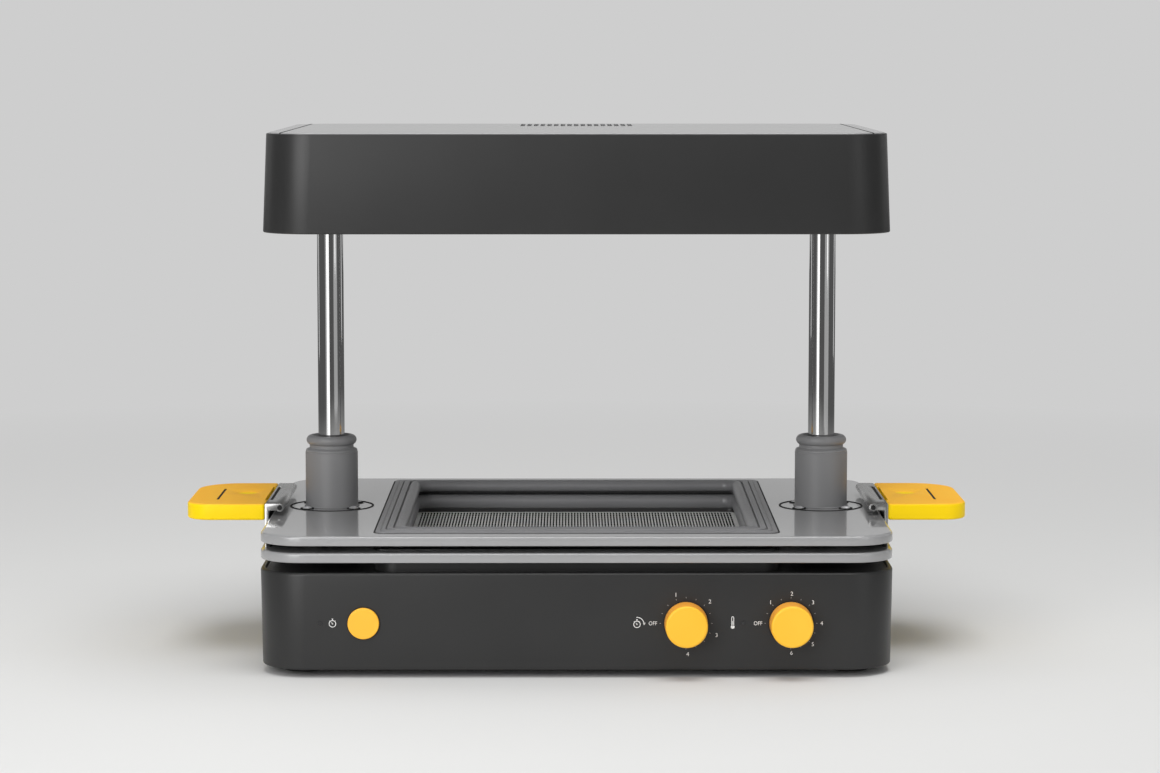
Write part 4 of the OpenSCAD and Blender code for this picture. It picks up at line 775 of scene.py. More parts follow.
def makeTray(nodeName, pieceName, body, boreRadius, recessRadius=0):
    t = tray
    x0, x1, y0, y1, low, high = nodeSpan(nodeName)
    gasketLow, gasketHigh = nodeSpan("upper_gasket")[:2]
    opening = gasketHigh - gasketLow + 2 * t["seam"]
    rebate, floor = high - t["rebateDrop"], high - t["recessDepth"]
    edge = roundOver(t["bottomRound"], t["topRound"], low, high, 5)
    stacks = [[(squarePath(x1 - x0, y1 - y0, t["radius"], inset, 14), z) for inset, z in edge]]
    steps = ((-t["rebateIn"], low), (-t["rebateIn"], rebate), (0, rebate), (0, high - t["lipDrop"]),
             (t["lipFlare"], high), (t["lipEnd"], high))
    stacks.append([(squarePath(opening + wider, opening + wider, t["openingRadius"] + wider / 2, 0, 8), z)
                   for wider, z in steps])
    rings = [(boreRadius, low)]
    if recessRadius:
        rings += [(boreRadius, floor), (recessRadius, floor)]
    last, blunt = recessRadius or boreRadius, t["holeEdge"]
    rings += [(last, high - blunt), (last + blunt, high), (last + t["holeEnd"], high)]
    for x in (-columnX, columnX):
        stacks.append([(circlePath(x, 0, r, 72), z) for r, z in rings])
    finishPiece(shaped(pieceName, addPlate, stacks), body, "tray", nodeName)


makeTray("upper_tray", "upperTray", "upper_carriage", tray["upperBore"], tray["recessRadius"])
makeTray("lower_tray", "lowerTray", "lower_carriage", tray["lowerBore"])
print("trays made")

# Gaskets: a flange with three ridges and a fat inner bead

gasket = {"ridges": ((0.0, 3.1, 0.7), (3.1, 5.7, 1.1), (6.3, 9.9, 1.5)), "freeFrom": 6, "ridgeRound": 0.5,
          "radius": 4.5, "ridgeRadius": 6.5, "ridgeFrom": 4.5, "beadStart": 10.5, "beadMiddle": 13.4,
          "beadReach": 3.6, "neck": 4.4, "seat": 2.45}
upperBead = {"lift": 1.6, "reach": 11.2}
lowerBead = {"lift": 1.3, "drop": 0.2, "reach": 13.0, "underDrop": 5.4, "ridgeLift": 1.2}


def gasketUnder(reach, low, top):
    # the (inset, z) line below the flange, from the bead to the edge that lies on the tray
    neck, seat = gasket["neck"], top - gasket["seat"]
    return [(reach, low), (neck, low), (neck, seat), (0, seat)]


def makeGasket(nodeName, pieceName, body, flangeZ, beadTop, beadLow, under, ridgeLift):
    # ridgeLift raises the ridge next to the bead, so that it meets the other gasket
    g = gasket
    x0, x1, y0, y1, low, high = nodeSpan(nodeName)
    profile, r = [], g["ridgeRound"]
    for start, end, height in g["ridges"]:
        first, free = start == 0, start > g["freeFrom"]
        crest = flangeZ + height + (ridgeLift if free else 0)
        profile += [(start, flangeZ)] if free else []
        profile += arcPoints(start + r, crest - r, r, 180, 90, 3)
        profile += arcPoints(end - r, crest - r, r, 90, 30 if first else 0, 3)
        profile += [] if first else [(end, flangeZ)]
    profile.append((g["beadStart"], flangeZ))
    # the fat bead: half an ellipse that bulges into the opening
    middleZ, tall = (beadTop + beadLow) / 2, (beadTop - beadLow) / 2
    profile += [(g["beadMiddle"] + g["beadReach"] * p, middleZ + tall * q)
                for p, q in arcPoints(0, 0, 1, 140, -90, 18)]
    shape = shaped(pieceName, addSweep, x1 - x0, y1 - y0,
                   lambda inset: g["radius"] if inset < g["ridgeFrom"] else g["ridgeRadius"],
                   profile + under, 10)
    finishPiece(shape, body, "silicone", nodeName)


upperTop, (lowerZ, lowerTop) = nodeSpan("upper_tray")[5], nodeSpan("lower_tray")[4:]
gasketLow, gasketTop = nodeSpan("upper_gasket")[4:]
beadLow = gasketLow + upperBead["lift"]
makeGasket("upper_gasket", "upperGasket", "upper_carriage", upperTop, gasketTop, beadLow,
           [(upperBead["reach"], beadLow)] + gasketUnder(upperBead["reach"], gasketLow, upperTop), 0)
gasketLow, gasketTop = nodeSpan("lower_gasket")[4:]
lowerUnder = gasketUnder(lowerBead["reach"], lowerTop - lowerBead["underDrop"], lowerTop)
makeGasket("lower_gasket", "lowerGasket", "lower_carriage", lowerTop, gasketTop - lowerBead["drop"],
           gasketLow + lowerBead["lift"], lowerUnder, lowerBead["ridgeLift"])
gasketLeft, gasketRight = nodeSpan("upper_gasket")[:2]
# a black cord in the seam between the upper gasket and its tray, as painted shade in that seam
cord = {"width": gasketRight - gasketLeft + 2 * tray["seam"] - 0.04, "thick": tray["seam"] - 0.05,
        "top": upperTop + 0.1, "low": upperTop + 0.1 - 2, "radius": gasket["radius"] + 0.5}
seamShadeRing = [(0, cord["low"]), (0, cord["top"]), (cord["thick"], cord["top"]), (cord["thick"], cord["low"])]
finishPiece(shaped("gasketSeamShade", addSweep, cord["width"], cord["width"],
                   lambda inset: cord["radius"] - inset, seamShadeRing, 8), "upper_carriage", "rubber")
# black strips on the lower tray along its sides, up to the upper tray, as painted shade in the gap between
# the trays
strip = {"x": 179.6, "halfWidth": 1.5, "halfLength": 104, "endRound": 1.2,
         "low": lowerTop - 0.2, "high": lowerTop + 4}
bm = bmesh.new()
for x in (-strip["x"], strip["x"]):
    span = (x - strip["halfWidth"], x + strip["halfWidth"], -strip["halfLength"], strip["halfLength"])
    addPrism(bm, pathOfBox(span, strip["endRound"], 0, 5), strip["low"], strip["high"])
finishPiece(newObject("trayGapShadeStrips", bm), "lower_carriage", "rubber")
print("gaskets made")

# Columns and collars

column = {"radius": 8, "bore": 3.2, "neckRadius": 5, "foot": 0.5, "shoulder": 0.4, "tip": 0.6}
collar = {"disc": 24.7, "discThick": 3, "spigot": 14, "body": 16, "bodyHeight": 34.2, "groove": 0.35,
          "neck": 13.4, "neckLow": 36.3, "beadMiddle": 12.3, "beadRadius": 3.0, "beadHeight": 40.9,
          "bore": 8.7, "bushBore": 10.05, "foot": 0.8, "footEdge": 0.1, "grooveLow": 0.6, "grooveHigh": 0.3,
          "coneRound": 1.25, "coneInset": 1.5, "coneRise": 0.15, "fillet": 0.3, "funnel": 1.2,
          "funnelTop": 1.3, "funnelLow": 2.4, "bushTop": 2.95, "discGap": 0.05, "discEdge": 0.2}


def makeColumn(side, name):
    c = column
    low, high = nodeSpan("column_" + name)[4:]
    neckZ = nodeSpan("heater_frame")[4]
    r, bore, neck, foot, shoulder = c["radius"], c["bore"], c["neckRadius"], c["foot"], c["shoulder"]
    profile = [(bore, low), (r - foot, low), (r, low + foot), (r, neckZ - shoulder), (r - shoulder, neckZ),
               (neck, neckZ), (neck, high - c["tip"]), (neck - c["tip"], high), (bore, high)]
    shape = shaped("column" + name.capitalize(), addLathe, profile, (side * columnX, 0, 0), closed=True)
    finishPiece(shape, "root", "polished_steel", "column_" + name)


def makeCollar(side, name):
    c = collar
    place = (side * columnX, 0, upperTop)
    low, discLow = nodeSpan("collar_" + name)[4] - upperTop, -c["discThick"]
    height, body, shoulder = c["beadHeight"] + c["beadRadius"], c["body"], c["bodyHeight"]
    foot, waist, bore, bushTop = body + c["foot"], body - c["groove"], c["bore"], height - c["bushTop"]
    profile = [(c["bushBore"], low), (c["spigot"], low), (c["spigot"], discLow), (foot, discLow),
               (foot, c["footEdge"]), (body, c["foot"] + c["footEdge"])]
    # a fine groove under the shoulder, then the cone, the neck and the fat bead
    profile += [(body, shoulder - c["grooveLow"]), (waist, shoulder - c["grooveHigh"]), (waist, shoulder)]
    profile += arcPoints(body - c["coneInset"], shoulder + c["coneRise"], c["coneRound"], 0, 60, 4)
    profile += [(c["neck"] + c["fillet"], c["neckLow"] - c["fillet"]), (c["neck"], c["neckLow"])]
    profile += arcPoints(c["beadMiddle"], c["beadHeight"], c["beadRadius"], -68, 100, 13)
    # a funnel leads down to the bore
    profile += [(bore + c["funnel"], height - c["funnelTop"]), (bore, height - c["funnelLow"]),
                (bore, bushTop), (c["bushBore"], bushTop)]
    pieceName = "collar" + name.capitalize()
    finishPiece(shaped(pieceName, addLathe, profile, place, closed=True),
                "upper_carriage", "collar", "collar_" + name, sharpAngle=40)
    # the flush disc that the collar stands on, lacquered like the tray
    inner, rim, edge, discLow = foot + c["discGap"], c["disc"], c["discEdge"], discLow + c["discGap"]
    disc = [(inner, discLow), (rim, discLow), (rim, -edge), (rim - edge, 0), (inner, 0)]
    finishPiece(shaped(pieceName + "Disc", addLathe, disc, place, closed=True),
                "upper_carriage", "tray", sharpAngle=30)


def ringOf(x, radius, count, firstDeg, z, direction, reach):
    turns = [math.radians(firstDeg + 360 * i / count) for i in range(count)]
    return [(x + radius * math.cos(a), radius * math.sin(a), z, direction, reach) for a in turns]


for side, name in sides:
    makeColumn(side, name)
    makeCollar(side, name)

columnPlaces = (-columnX, columnX)
latchY = sum(nodeSpan("handle_right")[2:4]) / 2
# radius and height of the screws' heads
collarHead, bodyHead = (3.1, 1.6), (2.8, 1.4)
collarRing = {"radius": 20, "count": 4, "firstDeg": 45, "z": upperTop, "direction": "up", "reach": 5}
sleeveRing = {"radius": 16.5, "count": 4, "firstDeg": 45, "z": lowerZ - 3.5, "direction": "down", "reach": 7}
bracketScrews = {"middle": (0, latchY), "corner": (177.5, 32), "z": lowerZ - 3.4, "direction": "down",
                 "reach": 5.5}
collarScrews = [p for x in columnPlaces for p in ringOf(x, **collarRing)]
screwSet("collarScrews", collarScrews, *collarHead, "upper_carriage", "collar_screws", metal=tumbledNickel)
trayScrews = [p for x in columnPlaces for p in ringOf(x, **sleeveRing)]
trayScrews += cornerScrews(**bracketScrews)
screwSet("trayScrews", trayScrews, *bodyHead, "lower_carriage", "tray_screws")
# painted shade: black rings in the collars' joints and under their screws' heads: inner and outer radius, low
# and high
discShadeRing = (collar["disc"] - 0.05, tray["recessRadius"], -2.9, 0.35)
footShadeRing = (collar["body"] + 0.1, collar["body"] + 0.75, -0.5, 0.3)
headShadeRing = (collarHead[0] + 0.05, 4.2, -0.3, 0.6)
shadeRings = [((x, 0, upperTop), "z", *ringSize) for ringSize in (discShadeRing, footShadeRing) for x in columnPlaces]
shadeRings += [((x, y, z), "z", *headShadeRing) for x, y, z, direction, reach in collarScrews]
makeShadeRings("collarShadeRings", shadeRings, "upper_carriage")
print("collars made")

# Latches and handles

clipEdge = {"edgeMm": 0.35, "angle": 50, "segments": 2}
handle = {"tipRadii": (26, 15), "rootRadius": 2.0, "edgeRound": 1.3, "grooveHalf": 0.8, "grooveReach": 25.0,
          "grooveX": 30.3, "grooveDepth": 1.1, "dishX": 15, "dishY": 6.5, "dishRadius": 7, "dishDepth": 1.3,
          "dishDeg": 24, "relief": 1.5, "reliefDepth": 3.2, "slotHalf": 30, "tongueLength": 22.4,
          "tongueHalf": 20.2, "tongueLow": 3.9, "tongueHigh": 6.1, "screwX": (8, 16), "headHole": 3.0,
          "headDepth": 2.9, "shankHole": 1.7, "shankDepth": 8.4, "stripX": -2.7, "stripHalf": 0.88,
          "stripLow": 1.9, "stripHigh": 0.25, "stripGap": 0.05, "cordIn": 0.03, "cordShort": 0.1,
          "cordDown": 0.3, "rollBack": 9.05, "rollDown": 2.4,
          "plug": 1.5, "plugIn": 0.5, "plugOut": 0.08, "cutOver": 1}


def cutHandle(piece, x0, middle, low, high):
    h = handle
    half, reach, grooveX, over = h["grooveHalf"], h["grooveReach"], x0 + h["grooveX"], h["cutOver"]
    bm = bmesh.new()
    addPrism(bm, pathOfBox((grooveX - half, grooveX + half, -reach, reach), half * 0.98, 0, 4),
             high - h["grooveDepth"], high + over)
    # a relief beside the clip's slot, and room for the clip's tongue and its two screws
    addBox(bm, (x0 - over, x0 + h["relief"], middle - h["slotHalf"], middle + h["slotHalf"],
                high - h["reliefDepth"], high + over))
    addBox(bm, (x0 - over, x0 + h["tongueLength"], middle - h["tongueHalf"], middle + h["tongueHalf"],
                low + h["tongueLow"], low + h["tongueHigh"]))
    head, shank, deep, deepest = h["headHole"], h["shankHole"], h["headDepth"], h["shankDepth"]
    for x in h["screwX"]:
        addLathe(bm, [(0, -over), (head, -over), (head, deep), (shank, deep), (shank, deepest), (0, deepest)],
                 (x0 + x, middle, low), steps=32)
    cutWith(piece, bm)
    # a shallow round dish for the thumb
    bm = bmesh.new()
    ball = (h["dishRadius"] ** 2 + h["dishDepth"] ** 2) / (2 * h["dishDepth"])
    turns = [math.radians(h["dishDeg"] * i / 8) for i in range(9)]
    bowl = [(ball * math.sin(a), -ball * math.cos(a)) for a in turns]
    addLathe(bm, bowl + [(bowl[-1][0], 0), (0, 0)],
             (x0 + h["dishX"], h["dishY"], high - h["dishDepth"] + ball), steps=48)
    cutWith(piece, bm)


def makeHandle(side, name):
    h = handle
    x0, x1, y0, y1, low, high = nodeSpan("handle_right")
    middle, body = (y0 + y1) / 2, "latch_" + name
    radii = (h["tipRadii"][0], h["rootRadius"], h["rootRadius"], h["tipRadii"][1])
    edge = roundOver(h["edgeRound"], h["edgeRound"], low, high, 5)
    piece = shaped("handle" + name.capitalize(), addPlate, [
        [(pathOfBox((x0, x1, y0, y1), radii, inset, 14), z) for inset, z in edge]])
    cutHandle(piece, x0, middle, low, high)
    if name == "left":
        bm = bmesh.new()
        bm.from_mesh(piece.data)
        bmesh.ops.scale(bm, vec=(-1, 1, 1), verts=bm.verts)
        bmesh.ops.reverse_faces(bm, faces=bm.faces)
        bm.to_mesh(piece.data)
        bm.free()
    finishPiece(piece, body, "yellow", "handle_" + name, look=handleAbs, sharpAngle=32)
    # black rubber: a strip in the handle's groove and one in the clip's slot, both as painted shade there,
    # and the plug in the clip's roll
    shadeStrips = ((x0 + h["grooveX"], 0, h["grooveHalf"] - h["cordIn"], h["grooveReach"] - h["cordShort"],
               high - h["grooveDepth"], high - h["cordDown"]),
              (x0 + h["stripX"], middle, h["stripHalf"], h["slotHalf"] - h["stripGap"],
               high - h["stripLow"], high - h["stripHigh"]))
    bm = bmesh.new()
    for x, y, half, reach, bottom, top in shadeStrips:
        span = (side * x - half, side * x + half, y - reach, y + reach)
        addPrism(bm, pathOfBox(span, half * 0.9, 0, 4), bottom, top)
    rollPlace = (side * (x0 - h["rollBack"]), nodeSpan("latch_clip_right")[2], high - h["rollDown"])
    addLathe(bm, plugRings(h["plug"], -h["plugIn"], h["plugOut"]), rollPlace, "y", 32)
    finishPiece(newObject("latchShadeAndPlug" + name.capitalize(), bm), body, "rubber")


for side, name in sides:
    clip = softCopy("latch_clip_" + name, "latchClip" + name.capitalize(), **clipEdge)
    finishPiece(clip, "latch_" + name, "clip_steel", "latch_clip_" + name, sharpAngle=32)
    makeHandle(side, name)
print("latches made")

# Heater

heater = {"radius": 28, "wall": 2.5, "taper": 4.2, "edgeRound": 0.8, "rimRound": 0.5, "rim": 1.2,
          "seat": 5, "seatThick": 2, "ledge": 5, "ledgeHeight": 3, "lidRadius": 26.8, "lidRound": 0.45,
          "lidFoot": 0.2, "stripWidth": 8, "seam": 0.8, "rimEdge": 0.1, "cordHalf": 116, "cordRound": 0.2,
          "cordGap": 0.02}
vents = {"width": 2.8, "length": 57, "count": 17, "pitch": 4.2, "y": 82, "depth": 12, "below": 4}


def makeHeaterCover():
    h = heater
    x0, x1, y0, y1, low, high = nodeSpan("heater_cover")
    half, wall, r, q = h["taper"] / 2, h["wall"], h["edgeRound"], h["rimRound"]
    lidLow, plateTop = nodeSpan("heater_lid")[4], nodeSpan("heater_base")[5]
    rim, seatLow, ledgeTop = half + h["rim"], lidLow - h["seatThick"], plateTop + h["ledgeHeight"]
    profile = arcPoints(r, low + r, r, 270, 180, 4)
    profile += [(half + p, z) for p, z in arcPoints(q, high - q, q, 180, 90, 4)]
    profile += [(rim - h["rimEdge"], high), (rim, high - h["rimEdge"]), (rim, lidLow),
                (rim + h["seat"], lidLow), (rim + h["seat"], seatLow), (half + wall, seatLow)]
    lean = half / (high - low)
    profile += [(wall + lean * 4, ledgeTop), (wall + h["ledge"], ledgeTop), (wall + h["ledge"], plateTop),
                (wall, plateTop), (wall, low)]
    shape = shaped("heaterCover", addSweep, x1 - x0, y1 - y0,
                   lambda inset: max(h["radius"] - max(inset - half, 0), 1), profile, 16)
    finishPiece(shape, "root", "casing", "heater_cover")


def lidArc(half, depth, radius, cutX, inset):
    # the lid's back corner: its middle, its radius and the angle at which a straight seam meets it
    r, middle = radius - inset, half - radius
    return middle, depth - radius, r, math.degrees(math.acos((cutX - middle) / r))


def panelPath(half, depth, radius, cutX, inset):
    # the lid's outline between the two seams
    x, y, r, start = lidArc(half, depth, radius, cutX - inset, inset)
    points = arcPoints(x, y, r, start, 90, 10) + arcPoints(-x, y, r, 90, 180 - start, 10)
    return points + arcPoints(-x, -y, r, 180 + start, 270, 10) + arcPoints(x, -y, r, 270, 360 - start, 10)


def stripPath(half, depth, radius, cutX, inset):
    # the lid's outline beyond one seam
    x, y, r, start = lidArc(half, depth, radius, cutX + inset, inset)
    return arcPoints(x, -y, r, -start, 0, 10) + arcPoints(x, y, r, 0, start, 10)


def makeLid():
    h, v = heater, vents
    x0, x1, y0, y1, low, high = nodeSpan("heater_lid")
    radius, seamX = h["lidRadius"], x1 - h["stripWidth"]
    edge = roundOver(h["lidFoot"], h["lidRound"], low, high, 3)
    panel = shaped("lidPanel", addPlate, [
        [(panelPath(x1, y1, radius, seamX - h["seam"], inset), z) for inset, z in edge]])
    firstX = -v["pitch"] * (v["count"] - 1) / 2
    runTree(panel, slotRowTree(), {
        "Slot Width": v["width"] * mm, "Slot Length": v["length"] * mm, "Count": v["count"],
        "Pitch": v["pitch"] * mm, "Depth": v["depth"] * mm, "Material": slotMaterials["tray"],
        "Start": (firstX * mm, v["y"] * mm + middleY, (low - v["below"]) * mm)})
    finishPiece(panel, "root", "tray", "heater_lid")
    seamShades = bmesh.new()
    for side, name in sides:
        strip = shaped("lidStrip" + name.capitalize(), addPlate, [
            [([(side * x, y) for x, y in stripPath(x1, y1, radius, seamX, inset)], z) for inset, z in edge]])
        finishPiece(strip, "root", "tray", "heater_lid")
        # a black cord lies in each seam, as painted shade there
        x, half = side * (seamX - h["seam"] / 2), h["seam"] / 2 - h["cordGap"]
        span = (x - half, x + half, -h["cordHalf"], h["cordHalf"])
        addPrism(seamShades, pathOfBox(span, h["cordRound"], 0, 3), low, high + h["cordGap"])
    finishPiece(newObject("lidSeamShades", seamShades), "root", "rubber")


makeHeaterCover()
makeLid()
print("heater made")

# Controls

knobShape = {"round": 1.3, "draft": 0.35, "bore": 3.05, "boreDepth": 3, "backEdge": 0.3, "flat": 0.4}
buttonShape = {"cap": 9.1, "flange": 10.65, "flangeThick": 2, "stem": 3, "round": 0.6, "gap": 0.3, "flat": 1}
# black rings behind the knobs and in the button's gap, as painted shade: inner and outer radius, low and high
dialShadeRing, buttonShadeRing = (-2, 0.8, -0.05, 0.4), (9.13, 9.68, -1.8, -0.1)
knobs = (("timer_knob", "timer"), ("heater_knob", "heater"))


def knobRadius(nodeName):
    span = nodeSpan(nodeName)
    return (span[1] - span[0]) / 2


def makeKnob(nodeName, name):
    k = knobShape
    (x, z), r, span = centreOf(nodeName), knobRadius(nodeName), nodeSpan(nodeName)
    back, front = -span[3], -span[2]
    crown, deep = r - k["draft"] - k["round"], front - k["boreDepth"]
    profile = [(0, deep), (k["bore"], deep), (k["bore"], back), (r - k["backEdge"], back),
               (r, back + k["backEdge"])]
    profile += arcPoints(crown, front - k["round"], k["round"], 5, 90, 5)
    profile += [(crown - k["flat"], front), (0, front)]
    shape = shaped(name + "Knob", addLathe, profile, (x, 0, z), "y")
    finishPiece(shape, name + "_dial", "yellow", nodeName)


def makeButton():
    b = buttonShape
    (x, z), span = centreOf("start_button"), nodeSpan("start_button")
    front, back = -span[2], -span[3]
    flangeTop = -frontY - casing["wall"] - b["gap"]
    flangeLow, r = flangeTop - b["flangeThick"], b["round"]
    profile = [(0, back), (b["stem"], back), (b["stem"], flangeLow), (b["flange"], flangeLow),
               (b["flange"], flangeTop), (b["cap"], flangeTop)]
    profile += arcPoints(b["cap"] - r, front - r, r, 0, 90, 4) + [(b["cap"] - b["flat"], front), (0, front)]
    shape = shaped("startButton", addLathe, profile, (x, 0, z), "y")
    finishPiece(shape, "start_button", "yellow", "start_button", look=buttonAbs)


makeButton()
shadeRings = []
inner, outer, low, high = dialShadeRing
for nodeName, name in knobs:
    makeKnob(nodeName, name)
    (x, z), r = centreOf(nodeName), knobRadius(nodeName)
    shadeRings.append(((x, frontY, z), "y", r + inner, r + outer, low, high))
x, z = centreOf("start_button")
makeShadeRings("panelShadeRings", shadeRings + [((x, frontY, z), "y", *buttonShadeRing)], "root")

# Printed marks on the front, as ink a twentieth of a millimetre thick

ink = {"thick": 0.05, "sunk": 0.02, "labelHeight": 2.3, "offWidth": 4.8, "dialStepDeg": 22.5,
       "tickCount": 13, "tickOut": 0.015}
tick = {"Radius": 14.9, "Length": 0.7, "Width": 0.26, "Thickness": 0.07}
watch = {"radius": 2.1, "ring": 0.42, "line": 0.3, "stem": 0.5, "stemIn": 0.1, "stemOut": 0.7,
         "crownHalf": 0.45, "crownOut": 0.75, "buttonEnds": ((0.72, 0.74), (0.84, 0.88)),
         "hand": (-0.3, 0.4), "hub": 0.4, "arrowOuter": 4.3, "arrowInner": 3.9,
         "arrowHead": ((4.95, 0.9), (3.35, 0.9), (4.15, -0.5))}
watchPlaces = ((-140.8, 31.8), (34.7, 31.4))
glass = {"place": (89.9, 32.3), "bulb": 1.1, "bulbDrop": 2.4, "top": 2.9, "outer": 0.8, "outerDrop": 1.6,
         "inner": 0.42, "innerDrop": 1.3, "line": 0.34, "lineLow": -2.0, "lineHigh": 1.0}
inkFront, inkBack = frontY - ink["thick"], frontY + ink["sunk"]
dials = (("timer_knob", {0: "OFF", 3: "1", 6: "2", 9: "3", 12: "4"}, 19.1, 18.0, 1.0),
         ("heater_knob", {0: "OFF", 2: "1", 4: "2", 6: "3", 8: "4", 10: "5", 12: "6"}, 19.0, 17.3, 0.4))


def inkOutline(bm, points, place, hole=None):
    # points are seen from the front: right and up
    loops = (points, hole, hole, points) if hole else (points, points)
    depths = (inkFront, inkFront, inkBack, inkBack) if hole else (inkFront, inkBack)
    rings = [[(place[0] + x, y, place[1] + z) for x, z in loop] for loop, y in zip(loops, depths)]
    rows = skinRings(bm, rings, closed=bool(hole))
    if not hole:
        bm.faces.new(rows[0])
        bm.faces.new(rows[1][::-1])


def inkBar(bm, place, start, end, width):
    start, end = Vector(start), Vector(end)
    along = (end - start).normalized()
    side = Vector((-along.y, along.x)) * width / 2
    inkOutline(bm, (start - side, end - side, end + side, start + side), place)


def stopwatch(bm, place):
    # a ring with a crown in the middle, a small button on each side, a hand and its hub
    w, r, line = watch, watch["radius"], watch["line"]
    inkOutline(bm, circlePath(0, 0, r, 40), place, circlePath(0, 0, r - w["ring"], 40))
    inkBar(bm, place, (0, r - w["stemIn"]), (0, r + w["stemOut"]), w["stem"])
    inkBar(bm, place, (-w["crownHalf"], r + w["crownOut"]), (w["crownHalf"], r + w["crownOut"]), line)
    for side in (-1, 1):
        start, end = [(side * r * across, r * up) for across, up in w["buttonEnds"]]
        inkBar(bm, place, start, end, line)
    inkBar(bm, place, (0, 0), [r * share for share in w["hand"]], line)
    inkOutline(bm, circlePath(0, 0, w["hub"], 16), place)


def thermometer(bm):
    # a bulb under a hollow stem with a line in it
    g = glass
    inkOutline(bm, circlePath(0, -g["bulbDrop"], g["bulb"], 28), g["place"])
    stem, well = [arcPoints(0, g["top"], half, 0, 180, 8) + [(-half, -drop), (half, -drop)]
                  for half, drop in ((g["outer"], g["outerDrop"]), (g["inner"], g["innerDrop"]))]
    inkOutline(bm, stem, g["place"], well)
    inkBar(bm, g["place"], (0, g["lineLow"]), (0, g["lineHigh"]), g["line"])


def addLabel(bm, words, x, z):
    text = bpy.data.curves.new("label", "FONT")
    text.body, text.resolution_u = words, 3
    carrier = showObject("label", text)
    shape = bakedMesh(carrier)
    corners = [v.co for v in shape.vertices]
    lowX, highX = min(c.x for c in corners), max(c.x for c in corners)
    lowZ, highZ = min(c.y for c in corners), max(c.y for c in corners)
    scale = ink["labelHeight"] / (highZ - lowZ)
    scaleX = ink["offWidth"] / (highX - lowX) if words == "OFF" else scale
    flat = bmesh.new()
    flat.from_mesh(shape)
    bmesh.ops.remove_doubles(flat, verts=flat.verts, dist=1e-5)
    solid = bmesh.ops.extrude_face_region(flat, geom=flat.faces[:])
    raised = {v for v in solid["geom"] if isinstance(v, bmesh.types.BMVert)}
    for vert in flat.verts:
        right, up = vert.co.x - (lowX + highX) / 2, vert.co.y - (lowZ + highZ) / 2
        vert.co = (x + right * scaleX, inkFront if vert in raised else inkBack, z + up * scale)
    flat.to_mesh(shape)
    flat.free()
    bm.from_mesh(shape)
    bpy.data.objects.remove(carrier)
    bpy.data.curves.remove(text)
    bpy.data.meshes.remove(shape)


def makeMarks():
    bm = bmesh.new()
    for place in watchPlaces:
        stopwatch(bm, place)
    # the second stopwatch stands inside an arrow that turns a quarter round it
    arrow = arcPoints(0, 0, watch["arrowOuter"], 5, 95, 16) + arcPoints(0, 0, watch["arrowInner"], 95, 5, 16)
    inkOutline(bm, arrow, watchPlaces[1])
    inkOutline(bm, watch["arrowHead"], watchPlaces[1])
    thermometer(bm)
    controlZ = centreOf("timer_knob")[1]
    for nodeName, names, offReach, numberReach, shift in dials:
        centre = centreOf(nodeName)[0]
        for step, words in names.items():
            a = math.radians(180 - ink["dialStepDeg"] * step)
            reach, aside = (offReach, 0) if words == "OFF" else (numberReach, shift)
            addLabel(bm, words, centre + aside + reach * math.cos(a), controlZ + reach * math.sin(a))
    finishPiece(newObject("printedMarks", bm), "root", "casing", look=whiteInk)


def tickTree():
    # small bars on an arc round a dial
    tree, given = newTree("dial ticks", {
        "Radius": "Float", "Length": "Float", "Width": "Float", "Thickness": "Float", "Count": "Int",
        "Centre": "Vector", "Material": "Material"})
    arc = addNode(tree, "GeometryNodeCurveArc", {
        "Resolution": given["Count"], "Radius": given["Radius"], "Start Angle": math.radians(180),
        "Sweep Angle": math.radians(-270)}, mode="RADIUS")
    size = combined(tree, X=given["Length"], Y=given["Width"], Z=given["Thickness"])
    spot = addNode(tree, "GeometryNodeInputPosition")
    turn = addNode(tree, "FunctionNodeAlignRotationToVector", {"Vector": spot}, axis="X")
    ticks = placedShapes(tree, arc, addNode(tree, "GeometryNodeMeshCube", {"Size": size}), Rotation=turn)
    upright = movedShape(tree, ticks, Rotation=(math.pi / 2, 0, 0), Translation=given["Centre"])
    return endTree(tree, upright, given["Material"])


ticksOfDial = tickTree()
for nodeName, name in knobs:
    x, z = centreOf(nodeName)
    ticks = runTree(emptyPiece(name + "Ticks"), ticksOfDial, {
        **{key: size * mm for key, size in tick.items()}, "Count": ink["tickCount"], "Material": greyInk,
        "Centre": (x * mm, (frontY - ink["tickOut"]) * mm + middleY, z * mm)})
    finishPiece(ticks, "root", "casing", look=greyInk)
makeMarks()
print("controls made")

# Screws of the casing and the heater

bottomZ, boardBack, boardThick = nodeSpan("bottom_plate")[4], nodeSpan("control_board")[3], 1.6
plateLow, frameTop = nodeSpan("heater_base")[4], nodeSpan("heater_frame")[5]
bottomScrews = {"middle": (0, 0), "corner": (170.44, 116.14), "z": bottomZ, "direction": "down", "reach": 14}
controlScrews = {"columns": (-144, 141.5), "rows": (17, 48), "reach": 9.5}
powerScrews = {"middle": (80, 37.5), "corner": (36, 53.5), "z": nodeSpan("power_board")[4] + boardThick,
               "direction": "up", "reach": 9}
socketRing = {"radius": 18, "count": 3, "firstDeg": 30, "z": bottomZ + 6, "direction": "up", "reach": 6}
